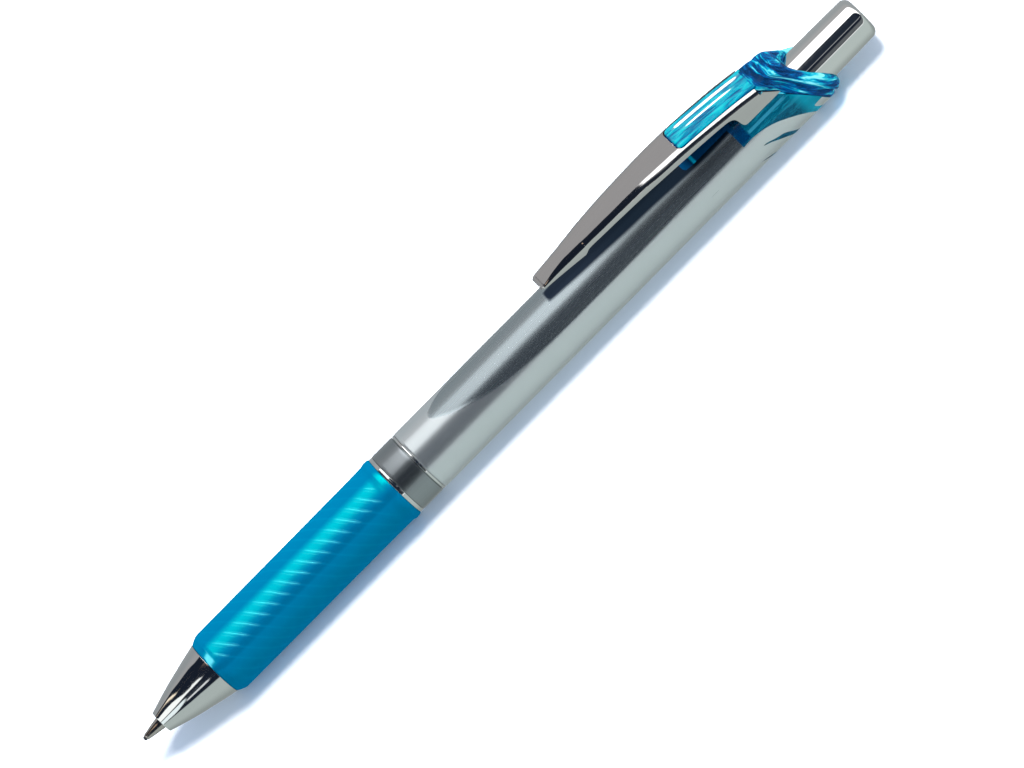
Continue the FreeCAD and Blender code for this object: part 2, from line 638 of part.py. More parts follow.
flange_end_x = dims.tank_x - dims.fit_gap
turned_piece("tank_connector", "plug", [
    (dims.connector_x, dims.connector_socket_rad), (dims.connector_x, dims.connector_nose_rad),
    (dims.connector_flange_x, dims.connector_nose_rad),
    (dims.connector_flange_x, dims.connector_flange_rad),
    (flange_end_x, dims.connector_flange_rad), (flange_end_x, dims.connector_spigot_rad),
    (dims.connector_end_x, dims.connector_spigot_rad),
    (dims.connector_end_x, dims.connector_spigot_rad - dims.connector_rim),
    (dims.connector_end_x - dims.connector_funnel, dims.connector_bore_rad),
    (dims.connector_socket_x, dims.connector_bore_rad),
    (dims.connector_socket_x, dims.connector_socket_rad),
])


# ---------------------------------------------------------------- spare leads
def build_spare_leads():
    """Staggered leads along the lowest side of the tank."""
    leads = []
    for i in range(SPARE_COUNT):
        lead = lengthwise_cylinder("spare_lead_%d" % (i + 1), dims.lead_rad, dims.lead_length)
        angle = math.radians(SPARE_FIRST_ANGLE + SPARE_ANGLE_STEP * i)
        on_circle = "Dims.spare_circle * %r"
        lead.setExpression("Placement.Base.x", "Dims.spare_x + %d * Dims.spare_stagger" % i)
        lead.setExpression("Placement.Base.y", on_circle % round(math.cos(angle), 6))
        lead.setExpression("Placement.Base.z", on_circle % round(math.sin(angle), 6))
        leads.append(lead)
    group = doc.addObject("Part::Compound", "spare_leads")
    group.Links = leads
    doc.recompute()
    finish(group, "spare_leads")


build_spare_leads()


# ---------------------------------------------------------------- chuck
def build_chuck():
    """A collet split into jaws by slots from its front end."""
    body = new_body("chuck")
    turned(body, "collet", [
        (dims.chuck_x, dims.chuck_jaw_bore), (dims.chuck_x, dims.chuck_front_rad),
        (dims.chuck_lip_x, dims.chuck_lip_rad), (dims.chuck_cone_x, dims.chuck_lip_rad),
        (dims.chuck_cone_x, dims.chuck_cone_rad), (dims.chuck_neck_x, dims.chuck_rad),
        (dims.chuck_end_x, dims.chuck_rad), (dims.chuck_end_x, dims.chuck_bore_rad),
        (dims.chuck_grip_x + dims.chuck_bore_cone, dims.chuck_bore_rad),
        (dims.chuck_grip_x, dims.chuck_jaw_bore),
    ])
    volume_before = body.Shape.Volume
    # the slot cutter starts inside the bore and ends outside the lip
    cutter_low = dims.chuck_jaw_bore - 0.2
    cutter_high = 3.0
    slot = side_slab(body, "slot", rectangle(
        dims.chuck_x - 1.0, dims.chuck_slot_end_x, cutter_low, cutter_high,
    ), dims.chuck_slot_width, cut=True)
    jaws = body.newObject("PartDesign::PolarPattern", "jaws")
    jaws.Originals = [slot]
    jaws.Axis = (origin_feature(body, "X_Axis"), [""])
    jaws.Angle = 360.0
    jaws.Occurrences = JAW_COUNT
    body.Tip = jaws
    doc.recompute()
    # one slot alone removes less than 3 mm3
    if not volume_before - body.Shape.Volume > 3.0:
        raise RuntimeError("the chuck's three slots were not cut")
    finish(body, "chuck")


build_chuck()

# ---------------------------------------------------------------- clutch ring and guide
turned_piece("clutch_ring", "ring", [
    (dims.clutch_x, dims.clutch_bore_rad + dims.clutch_bevel),
    (dims.clutch_x, dims.clutch_rad - dims.clutch_bevel),
    (dims.clutch_x + dims.clutch_bevel, dims.clutch_rad),
    (dims.clutch_end_x, dims.clutch_rad), (dims.clutch_end_x, dims.clutch_bore_rad),
    (dims.clutch_x + dims.clutch_bevel, dims.clutch_bore_rad),
])

turned_piece("guide_sleeve", "tube", [
    (dims.guide_x, dims.guide_hole_rad), (dims.guide_x, dims.guide_rad),
    (dims.guide_end_x, dims.guide_rad), (dims.guide_end_x, dims.guide_bore_rad),
    (dims.guide_wall_x, dims.guide_bore_rad), (dims.guide_wall_x, dims.guide_hole_rad),
])


# ---------------------------------------------------------------- spring
def build_spring():
    """A round-wire spring between the guide sleeve's front wall and the connector."""
    body = new_body("chuck_spring")
    sketch = new_sketch(body, "XZ_Plane", "wire_outline")
    wire_x = dims.spring_x + dims.spring_wire_rad
    centre = FreeCAD.Vector(wire_x.value, dims.spring_mean_rad.value, 0)
    circle = Part.Circle(centre, FreeCAD.Vector(0, 0, 1), dims.spring_wire_rad.value)
    wire = sketch.addGeometry(circle, False)
    for arguments, length in (
        (("Radius", wire), dims.spring_wire_rad),
        (("DistanceX", -1, 1, wire, 3), wire_x),
        (("DistanceY", -1, 1, wire, 3), dims.spring_mean_rad),
    ):
        index = sketch.addConstraint(Sketcher.Constraint(*arguments, length.value))
        sketch.setExpression("Constraints[%d]" % index, length.text)
    doc.recompute()
    coil = body.newObject("PartDesign::AdditiveHelix", "coil")
    coil.Profile = sketch
    coil.ReferenceAxis = (sketch, ["H_Axis"])
    coil.Mode = 2  # driven by height, turns and cone angle
    height = dims.spring_end_x - dims.spring_x - dims.spring_wire_rad * 2
    coil.setExpression("Height", height.text)
    coil.setExpression("Turns", "Dims.spring_turns")
    coil.Angle = 0
    coil.Growth = 0
    coil.LeftHanded = False
    coil.Reversed = False
    sketch.Visibility = False
    body.Tip = coil
    doc.recompute()
    finish(body, "chuck_spring")


build_spring()

# ---------------------------------------------------------------- checks and files
doc.recompute()
failed = [item.Name for item in doc.Objects if "Invalid" in item.State or "Error" in item.State]
if failed:
    raise RuntimeError("features failed: %s" % ", ".join(failed))
for name, piece in parts:
    shape = piece.Shape
    if shape.isNull() or not shape.isValid() or not shape.Solids:
        raise RuntimeError(name + " has no valid solid")

os.makedirs("parts", exist_ok=True)
for name, piece in parts:
    piece.Shape.exportStep(os.path.join("parts", name + ".step"))
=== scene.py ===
"""A mechanical pencil: chrome nose, turquoise ribbed grip, silver barrel, clear blue crown, clip.

It lies along X over a pale floor at z = 0. The lead's point is at the low end of x and the
push button at the high end. The clip is on top (+z) and the camera looks from the -y side.
Shapes are drawn in millimetres: x from the lead's point, y and z from the pencil's axis.
"""
import bpy
import bmesh
import json
import math
import numpy as np
from mathutils import Matrix, Vector

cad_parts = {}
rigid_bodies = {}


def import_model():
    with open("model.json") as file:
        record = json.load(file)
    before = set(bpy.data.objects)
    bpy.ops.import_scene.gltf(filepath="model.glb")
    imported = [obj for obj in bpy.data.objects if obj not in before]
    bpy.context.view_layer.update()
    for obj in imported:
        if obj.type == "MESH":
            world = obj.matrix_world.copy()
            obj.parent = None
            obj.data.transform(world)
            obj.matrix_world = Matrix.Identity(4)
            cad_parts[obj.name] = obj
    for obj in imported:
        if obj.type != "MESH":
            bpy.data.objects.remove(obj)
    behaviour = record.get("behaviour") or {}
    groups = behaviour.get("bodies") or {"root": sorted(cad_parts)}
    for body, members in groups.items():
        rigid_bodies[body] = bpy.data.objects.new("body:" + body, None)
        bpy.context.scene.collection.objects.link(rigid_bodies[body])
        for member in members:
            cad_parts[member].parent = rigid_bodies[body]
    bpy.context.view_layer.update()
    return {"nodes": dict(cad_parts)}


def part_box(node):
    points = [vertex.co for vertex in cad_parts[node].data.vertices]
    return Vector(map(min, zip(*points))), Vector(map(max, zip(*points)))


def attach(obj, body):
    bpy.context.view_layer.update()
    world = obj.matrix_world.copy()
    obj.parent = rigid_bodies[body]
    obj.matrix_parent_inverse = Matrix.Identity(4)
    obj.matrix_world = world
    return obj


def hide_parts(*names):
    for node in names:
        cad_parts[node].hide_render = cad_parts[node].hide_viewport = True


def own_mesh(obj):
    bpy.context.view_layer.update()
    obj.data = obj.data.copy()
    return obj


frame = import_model()

# ------------------------------------------------------------------ the drawing frame
MM = 0.001
TIP_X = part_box("lead")[0].x
AXIS_Z = (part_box("nose_cone")[0].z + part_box("nose_cone")[1].z) / 2
TIP_MM, AXIS_MM = TIP_X * 1000.0, AXIS_Z * 1000.0
HALF_PI = math.pi / 2
TO_DEGREES = 180 / math.pi

# Dimensions shared by several pieces
BODY_RADIUS = 5.22
ARC_PER_DEGREE = BODY_RADIUS * math.pi / 180
BAND_BORE = 4.35  # inside radius of the two rings and the collar
RIDGE_STARTS, RIDGE_PITCH = 12, 24.6  # helical ridges on the grip's core: how many, mm per turn


def to_row(points):
    """Drawing millimetres to scene metres."""
    points = np.asarray(points, float)
    x, y, z = points[..., 0], points[..., 1], points[..., 2]
    return np.stack([TIP_X + x * MM, y * MM, AXIS_Z + z * MM], -1)


# ------------------------------------------------------------------ curves and outlines
def spline(stations, values, at):
    """Natural cubic spline."""
    stations, values, at = (np.asarray(each, float) for each in (stations, values, at))
    count, step = len(stations), np.diff(stations)
    system, load = np.eye(count), np.zeros(count)
    for i in range(1, count - 1):
        system[i, i - 1:i + 2] = step[i - 1], 2 * (step[i - 1] + step[i]), step[i]
    load[1:-1] = 6 * np.diff(np.diff(values) / step)
    bend = np.linalg.solve(system, load)
    k = np.clip(np.searchsorted(stations, at) - 1, 0, count - 2)
    ahead, behind, gap = stations[k + 1] - at, at - stations[k], step[k]
    return ((bend[k] * ahead ** 3 + bend[k + 1] * behind ** 3) / (6 * gap)
            + (values[k] / gap - bend[k] * gap / 6) * ahead
            + (values[k + 1] / gap - bend[k + 1] * gap / 6) * behind)


def pchip(stations, values, at):
    """Monotone cubic through the points: no overshoot."""
    stations, values, at = (np.asarray(each, float) for each in (stations, values, at))
    step = np.diff(stations)
    chord = np.diff(values) / step
    slope = np.zeros(len(stations))
    slope[0], slope[-1] = chord[0], chord[-1]
    for i in range(1, len(stations) - 1):
        if chord[i - 1] * chord[i] > 0:
            weight, weight_next = 2 * step[i] + step[i - 1], step[i] + 2 * step[i - 1]
            slope[i] = (weight + weight_next) / (weight / chord[i - 1] + weight_next / chord[i])
    k = np.clip(np.searchsorted(stations, at) - 1, 0, len(stations) - 2)
    t = np.clip((at - stations[k]) / step[k], 0, 1)
    return (values[k] * (2 * t ** 3 - 3 * t ** 2 + 1)
            + step[k] * slope[k] * (t ** 3 - 2 * t ** 2 + t)
            + values[k + 1] * (3 * t ** 2 - 2 * t ** 3)
            + step[k] * slope[k + 1] * (t ** 3 - t ** 2))


def curve(points):
    """Catmull-Rom curve through (x, angle) points, eight steps to a span."""
    knots = np.array([points[0]] + list(points) + [points[-1]], float)
    out = []
    for i in range(1, len(knots) - 2):
        before, start, end, after = knots[i - 1:i + 3]
        for t in np.linspace(0, 1, 8, endpoint=False):
            out.append(tuple(0.5 * (2 * start + (end - before) * t
                                    + (2 * before - 5 * start + 4 * end - after) * t ** 2
                                    + (-before + 3 * start - 3 * end + after) * t ** 3)))
    return out + [tuple(knots[-1])]


def arc(across, up, radius, start, end, count):
    """Points on a circular arc round (across, up), angles in radians."""
    return [(across + radius * math.cos(angle), up + radius * math.sin(angle))
            for angle in np.linspace(start, end, count)]


def rounded(points, steps):
    """A closed outline of (x, radius[, corner radius]) points with its corners rounded."""
    out = []
    for i, point in enumerate(points):
        corner = np.array(point[:2], float)
        wanted = point[2] if len(point) > 2 else 0.0
        if wanted <= 0:
            out.append(tuple(corner))
            continue
        back = np.array(points[i - 1][:2], float) - corner
        ahead = np.array(points[(i + 1) % len(points)][:2], float) - corner
        back_length, ahead_length = np.linalg.norm(back), np.linalg.norm(ahead)
        back, ahead = back / back_length, ahead / ahead_length
        angle = math.acos(max(-1.0, min(1.0, float(back @ ahead))))
        if angle > math.pi - 1e-3:
            out.append(tuple(corner))
            continue
        cut = min(wanted / math.tan(angle / 2), back_length * 0.49, ahead_length * 0.49)
        radius = cut * math.tan(angle / 2)
        bisector = (back + ahead) / np.linalg.norm(back + ahead)
        centre = corner + bisector * (radius / math.sin(angle / 2))
        first, last = corner + back * cut - centre, corner + ahead * cut - centre
        start = math.atan2(first[1], first[0])
        sweep = (math.atan2(last[1], last[0]) - start + math.pi) % (2 * math.pi) - math.pi
        out += arc(*centre, radius, start, start + sweep, steps + 1)
    return out


# ------------------------------------------------------------------ mesh helpers
def around(x, radius, angle):
    """Points at x and radius, turned by angle from the clip's side (+z) towards +y."""
    parts = np.broadcast_arrays(x, radius * np.sin(angle), radius * np.cos(angle))
    return np.stack(parts, -1)


def quads(rows, count, closed):
    """Quads between rings of ``count`` points; ``closed`` joins the last ring to the first."""
    faces = []
    for i in range(rows if closed else rows - 1):
        j = (i + 1) % rows
        for k in range(count):
            m = (k + 1) % count
            faces.append((i * count + k, j * count + k, j * count + m, i * count + m))
    return faces


def tube_faces(rows, count):
    """Faces of an open run of rings, then its first and last end caps."""
    last = (rows - 1) * count
    return quads(rows, count, False) + [tuple(range(count)), tuple(range(last, last + count))]


def plate(outline, low, high, axis=1):
    """A flat plate: an outline in the other two axes, between two levels on ``axis``."""
    count = len(outline)
    verts = np.vstack([np.insert(outline, axis, level, axis=1) for level in (low, high)])
    faces = [tuple(range(count))[::-1], tuple(range(count, 2 * count))]
    for i in range(count):
        j = (i + 1) % count
        faces.append((i, j, count + j, count + i))
    return verts, faces


def new_mesh(name, verts, faces):
    mesh = bpy.data.meshes.new(name)
    mesh.from_pydata([tuple(point) for point in to_row(verts).reshape(-1, 3)], [], faces)
    return mesh


def link(name, data):
    obj = bpy.data.objects.new(name, data)
    bpy.context.scene.collection.objects.link(obj)
    return obj


def shade(mesh, sharp):
    """Smooth shading with edges above ``sharp`` degrees kept hard."""
    mesh.shade_smooth()
    mesh.set_sharp_from_angle(angle=math.radians(sharp))


def make(name, verts, faces, material, body, slot, replaces=None, sharp=32.0, tidy=True):
    """A finished object. ``tidy`` merges doubles and turns the faces outward."""
    mesh = new_mesh(name, verts, faces)
    mesh.validate()
    if tidy:
        work = bmesh.new()
        work.from_mesh(mesh)
        bmesh.ops.remove_doubles(work, verts=work.verts, dist=1e-7)
        bmesh.ops.recalc_face_normals(work, faces=work.faces)
        work.to_mesh(mesh)
        work.free()
    obj = link(name, mesh)
    shade(mesh, sharp)
    mesh.materials.append(MAT[material])
    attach(obj, body)
    if replaces:
        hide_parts(replaces)
    return obj


def lathe(name, outline, material, body, slot, replaces, segments=160, radius_of=None,
          sharp=32.0, corner_steps=5):
    """A closed outline turned round the axis; radius_of(x, radius, angle) may change it."""
    points = np.array(rounded(outline, corner_steps), float)
    angle = np.linspace(0, 2 * math.pi, segments, endpoint=False)
    x, radius = points[:, :1], points[:, 1:]
    if radius_of:
        radius = radius_of(x, radius, angle)
    make(name, around(x, radius, angle), quads(len(points), segments, True),
         material, body, slot, replaces, sharp)


def store(obj, name, values):
    """Keeps one number per vertex for the material to read."""
    attribute = obj.data.attributes.new(name, "FLOAT", "POINT")
    attribute.data.foreach_set("value", np.asarray(values, np.float32).reshape(-1))


def bake(obj, sharp):
    """Makes the modifiers part of the mesh."""
    graph = bpy.context.evaluated_depsgraph_get()
    mesh = bpy.data.meshes.new_from_object(obj.evaluated_get(graph))
    obj.modifiers.clear()
    obj.data = mesh
    shade(mesh, sharp)


def add_bevel(obj, name, width, segments, angle):
    bevel = obj.modifiers.new(name, "BEVEL")
    bevel.width, bevel.segments = width * MM, segments
    bevel.limit_method, bevel.angle_limit = "ANGLE", math.radians(angle)


# ------------------------------------------------------------------ node helpers
class Signal:
    """An output socket that takes +, - and *; each adds a Math node, inputs in written order."""

    def __init__(self, net, socket):
        self.net, self.socket = net, socket

    def __add__(self, other):
        return self.net.math("ADD", self, other)

    def __radd__(self, other):
        return self.net.math("ADD", other, self)

    def __sub__(self, other):
        return self.net.math("SUBTRACT", self, other)

    def __rsub__(self, other):
        return self.net.math("SUBTRACT", other, self)

    def __mul__(self, other):
        return self.net.math("MULTIPLY", self, other)


class Net:
    """A thin writer for the node tree of a material or a world."""

    def __init__(self, owner):
        self.owner = owner
        owner.use_nodes = True
        self.tree = owner.node_tree
        self.tree.nodes.clear()

    def node(self, kind, inputs=None, **props):
        """Inputs are signals or constants; a constant colour is given as three numbers."""
        node = self.tree.nodes.new("ShaderNode" + kind)
        for key, value in props.items():
            setattr(node, key, value)
        for key, value in (inputs or {}).items():
            socket = node.inputs[key]
            if isinstance(value, Signal):
                self.tree.links.new(value.socket, socket)
            elif socket.type == "RGBA":
                socket.default_value = (*value, 1.0)
            else:
                socket.default_value = value
        return node

    def out(self, kind, inputs=None, key=0, **props):
        return Signal(self, self.node(kind, inputs, **props).outputs[key])

    def outs(self, kind, inputs, keys):
        node = self.node(kind, inputs)
        return [Signal(self, node.outputs[key]) for key in keys]

    def finish(self, surface, volume=None):
        """Adds the material output and gives the material."""
        inputs = {"Surface": surface}
        if volume is not None:
            inputs["Volume"] = volume
        self.node("OutputMaterial", inputs)
        return self.owner

    def math(self, operation, first, second=0.0, clamp=False):
        inputs = {0: first, 1: second, 2: 0.0}
        return self.out("Math", inputs, operation=operation, use_clamp=clamp)

    def ramp(self, factor, stops):
        node = self.node("ValToRGB", {"Fac": factor})
        elements = node.color_ramp.elements
        while len(elements) < len(stops):
            elements.new(0.5)
        for element, (position, colour) in zip(elements, stops):
            element.position = position
            element.color = (*colour, 1.0)
        return Signal(self, node.outputs["Color"])

    def mix(self, factor, first, second):
        """Mixes two colours."""
        return self.out("Mix", {0: factor, 6: first, 7: second}, key=2, data_type="RGBA")

    def blend(self, factor, first, second):
        """Mixes two shaders."""
        return self.out("MixShader", {0: factor, 1: first, 2: second})

    def xyz(self, vector):
        return self.outs("SeparateXYZ", {0: vector}, (0, 1, 2))

    def coords(self, scale=(1000.0, 1000.0, 1000.0)):
        """Object coordinates times ``scale``; as it stands, millimetres."""
        place = self.out("TexCoord", key="Object")
        return self.out("Mapping", {"Vector": place, "Scale": scale})

    def noise(self, place, scale=1.0, detail=2.0, rough=0.5, distortion=0.0):
        inputs = {"Vector": place, "Scale": scale, "Detail": detail,
                  "Roughness": rough, "Distortion": distortion}
        return self.out("TexNoise", inputs, key="Fac")

    def attribute(self, name):
        return self.out("Attribute", key="Fac", attribute_name=name)

    def smooth(self, value, start, end, before=0.0, after=1.0):
        """Goes smoothly from ``before`` to ``after`` as value runs from start to end."""
        inputs = {0: value, 1: start, 2: end, 3: before, 4: after}
        return self.out("MapRange", inputs, interpolation_type="SMOOTHSTEP")

    def fade(self, value, start, end):
        return self.smooth(value, start, end, before=1.0, after=0.0)

    def rise(self, y, z):
        """Angle of a direction: degrees up from the viewer's side (-y) through the zenith."""
        angle = self.math("ARCTAN2", z, y * -1.0) * TO_DEGREES
        return angle + self.math("LESS_THAN", angle, -110.0) * 360.0

    def mirror_rise(self):
        """The same angle for this point's mirror direction."""
        mirrored = self.xyz(self.out("TexCoord", key="Reflection"))
        return self.rise(mirrored[1], mirrored[2])

    def bump(self, height, strength, distance):
        inputs = {"Height": height, "Strength": strength, "Distance": distance}
        return self.out("Bump", inputs)

    def lean(self, normal, along, up):
        """A normal leaned along x and z."""
        shift = self.out("CombineXYZ", {0: along, 1: 0.0, 2: up})
        total = self.out("VectorMath", {0: normal, 1: shift}, operation="ADD")
        return self.out("VectorMath", {0: total}, operation="NORMALIZE")

    def glow(self, colour, strength):
        return self.out("Emission", {"Color": colour, "Strength": strength})


def new_net(name):
    return Net(bpy.data.materials.new(name))


def scaled(colour, factor):
    return tuple(channel * factor for channel in colour)


def linear(*levels):
    """An 8-bit screen colour as linear light."""
    shares = [level / 255 for level in levels]
    return tuple(share / 12.92 if share <= 0.04045 else ((share + 0.055) / 1.055) ** 2.4
                 for share in shares)


# ------------------------------------------------------------------ metals
def chrome(name, colour, rough=0.045, spread=0.03, wave=0.012, even_from=None):
    """Plating with faint waves; from x = ``even_from`` mm the taper is evened out in shading."""
    net = new_net(name)
    place = net.coords()
    broad = net.noise(place, scale=0.35)
    fine = net.noise(net.coords((180.0, 3200.0, 3200.0)), detail=3.0)
    normal = net.bump(broad * 1.0 + fine * 0.005, strength=wave, distance=0.001)
    if even_from is not None:
        x = net.xyz(place)[0] - (TIP_MM + even_from)
        along = net.math("MAXIMUM", x, 0.0) * -0.00215 * net.fade(x, 10.2, 11.2)
        normal = net.lean(normal, along, up=0.0)
    return net.finish(net.out("BsdfPrincipled", {
        "Base Color": net.mix(broad * 0.5, colour, scaled(colour, 0.94)),
        "Metallic": 1.0,
        "Roughness": rough + fine * spread,
        "Normal": normal,
    }))


def grained(name, colour, grain):
    """The start of a metal whose grain runs along x: its net, grain pattern, tint and normal."""
    net = new_net(name)
    along = net.noise(net.coords((60.0, 5200.0, 5200.0)), detail=4.0, rough=0.6)
    broad = net.noise(net.coords(), scale=0.4)
    tint = net.mix(along, scaled(colour, 1 - grain), scaled(colour, 1 + grain))
    tint = net.mix(broad * 0.25, tint, scaled(colour, 0.9))
    return net, along, tint, net.bump(along, strength=0.05, distance=0.0001)


def grained_shader(net, tint, rough, normal, coat):
    return net.out("BsdfPrincipled", {
        "Base Color": tint, "Metallic": 1.0, "Roughness": rough, "Normal": normal,
        "Coat Weight": coat, "Coat Roughness": 0.08,
    })


def satin(name, colour, rough, grain, coat=0.0):
    net, along, tint, normal = grained(name, colour, grain)
    return net.finish(grained_shader(net, tint, rough + (along - 0.5) * 0.12, normal, coat))


def clip_plating():
    """The clip's plating; the inside of the folded sheet is painted dark as shade."""
    net, along, tint, normal = grained("clip_plating", (0.60, 0.59, 0.59), grain=0.04)
    facing_x, facing_y, facing_z = net.xyz(net.out("NewGeometry", key="Normal"))
    across = net.xyz(net.out("TexCoord", key="Object"))[1]
    inward = facing_y * net.math("SIGN", across) * -1.0
    hidden = net.math("MAXIMUM", net.math("MAXIMUM", facing_z * -1.0, inward), facing_x)
    # painted shade: faces that point down, inward or back are darkened
    under = net.smooth(hidden, 0.35, 0.75, after=0.94)
    tint = net.mix(under, tint, (0.02, 0.024, 0.03))
    # the shading leans towards -x at the front edge of this range, and upward behind it
    x = net.xyz(net.coords())[0] - TIP_MM
    lift = net.smooth(facing_z, 0.10, 0.42) * net.smooth(x, 105.4, 110.5) * 0.62
    along_lean = net.smooth(x, 104.6, 107.2, before=-0.05, after=0.0)
    normal = net.lean(normal, along_lean, lift)
    metal = grained_shader(net, tint, 0.07 + (along - 0.5) * 0.03, normal, coat=0.0)
    inside_shade = net.out("BsdfDiffuse", {"Color": (0.012, 0.016, 0.022)})
    metal = net.blend(under, metal, inside_shade)
    # painted glow: seen through the clear tongue, the metal gives off a little light as emission
    glow = net.glow((0.50, 0.74, 0.82), strength=0.85)
    inside = net.out("LightPath", key="Is Transmission Ray") * 0.45
    return net.finish(net.blend(inside, metal, glow))


# ------------------------------------------------------------------ opaque plastics
def plastic(name, colour, rough, vary=0.1, scatter=0.0, metallic=0.0, bump=0.03, scale=6.0):
    """``vary`` is the broad change in tint; ``bump`` and ``scale`` set the fine texture."""
    net = new_net(name)
    place = net.coords()
    fine = net.noise(place, scale=scale, detail=3.0)
    broad = net.noise(place, scale=0.3)
    return net.finish(net.out("BsdfPrincipled", {
        "Base Color": net.mix(broad, scaled(colour, 1 - vary), scaled(colour, 1 + vary)),
        "Metallic": metallic,
        "Roughness": rough + (fine - 0.5) * 0.12,
        "Subsurface Weight": scatter,
        "Subsurface Radius": (0.0006, 0.0008, 0.001),
        "Normal": net.bump(fine, strength=bump, distance=0.0002),
    }))


# ------------------------------------------------------------------ clear plastics
SHADOW_TINT = (0.20, 0.34, 0.42)  # light that shadow rays carry through clear plastic
# Cloud colours: (flow value, colour)
DEEP = [(0.16, (0.0, 0.016, 0.060)), (0.36, (0.0, 0.044, 0.155)), (0.50, (0.0, 0.074, 0.235)),
        (0.60, (0.0, 0.20, 0.335)), (0.71, (0.0, 0.40, 0.50)), (0.84, (0.20, 0.70, 0.74))]
LIGHT = [(0.14, (0.0, 0.055, 0.135)), (0.34, (0.0, 0.135, 0.225)),
         (0.56, (0.0, 0.235, 0.295)), (0.82, (0.005, 0.33, 0.355))]


def slanted_flow(net):
    """Slanted flow lines and their cloud value, which rises towards the rear."""
    x, y, z = net.xyz(net.coords())
    stretch = {0: (x + z * 0.67) * 1.5, 1: y * 0.30, 2: z * 0.22}
    place = net.out("CombineXYZ", stretch)
    flow = net.noise(place, detail=4.0, rough=0.62, distortion=0.7)
    open_side = x - TIP_MM - 129.6
    return flow, (flow - 0.5) * 2.7 + (0.46 + open_side * 0.030)


def straight_flow(net):
    """Flow lines along x and their cloud value."""
    flow = net.noise(net.coords((90.0, 1500.0, 1500.0)), distortion=0.5)
    return flow, (flow - 0.5) * 2.0 + 0.5


def clear_blue(name, tint, absorb, density, stops, cloud, flow_of, flow_bump):
    """Tinted clear plastic: coloured by depth, cloudy by the share ``cloud``, with flow lines."""
    net = new_net(name)
    flow, cloud_value = flow_of(net)
    fine = net.noise(net.coords(), scale=4.0)
    normal = net.bump(flow, strength=flow_bump, distance=0.0006)
    shader = net.out("BsdfPrincipled", {
        "Base Color": net.mix(flow, tint, scaled(tint, 0.80)),
        "Roughness": 0.02 + fine * 0.02,
        "IOR": 1.49,
        "Transmission Weight": 1.0,
        "Normal": normal,
    })
    body = net.out("BsdfDiffuse", {"Color": net.ramp(cloud_value, stops), "Normal": normal})
    shader = net.blend(cloud, shader, body)
    # painted highlight: a white gloss takes over where the mesh's shine value is set
    shine = net.math("MULTIPLY", net.attribute("shine"), 0.85, clamp=True)
    gloss = net.out("BsdfGlossy", {"Color": (1.0, 1.0, 1.0), "Roughness": 0.06})
    shader = net.blend(shine, shader, gloss)
    # painted shade: a dark rim where the mesh's rim value is set
    edge = net.out("BsdfDiffuse", {"Color": (0.0, 0.022, 0.085)})
    shader = net.blend(net.attribute("rim"), shader, edge)
    volume = net.out("VolumeAbsorption", {"Color": absorb, "Density": density})
    # shadow rays pass straight through, tinted, so what is inside stays lit
    passing = net.out("BsdfTransparent", {"Color": SHADOW_TINT})
    shadow_ray = net.out("LightPath", key="Is Shadow Ray")
    return net.finish(net.blend(shadow_ray, shader, passing), volume)


# ------------------------------------------------------------------ silver paint over clear blue
def silver_paint(net, place, x, shade_mm, shaded):
    """The paint; it is a little darker on the long panel, and painted shade darkens it under and
    beside the clip.
    """
    panel = net.math("ADD", net.attribute("panel_mm") * 3.2, 0.5, clamp=True)
    flake = net.out("TexVoronoi", {"Vector": place, "Scale": 16.0}, key="Color", feature="F1")
    grain = net.noise(net.coords((90.0, 2600.0, 2600.0)), detail=3.0, rough=0.6)
    broad = net.noise(place, scale=0.25)
    base = net.mix(broad * 0.35, linear(214, 221, 224), linear(204, 212, 215))
    base = net.mix(panel * 0.9, base, linear(161, 173, 179))
    base = net.mix(0.012, base, flake)
    # painted shade: the paint goes almost black under the clip
    base = net.mix(shaded, base, (0.006, 0.012, 0.024))
    # painted shade: a fainter shade beside the clip, stronger towards the rear
    half_shade = net.smooth(shade_mm, -2.3, -0.1) * net.smooth(x, 87.0, 102.0) * 0.50
    base = net.mix(half_shade, base, (0.0, 0.004, 0.008))
    height = net.noise(place, scale=14.0) + grain * panel * 0.2
    return net.out("BsdfPrincipled", {
        "Base Color": base,
        "Metallic": 0.93 + panel * 0.04 - shaded * 0.5,
        "Roughness": 0.27 + grain * 0.015 - panel * 0.005,
        "Coat Weight": 0.12 - shaded * 0.11,
        "Coat Roughness": 0.12,
        "Normal": net.bump(height, strength=0.003, distance=0.0001),
        "Specular IOR Level": (1.0 - shaded) * 0.5,
    })


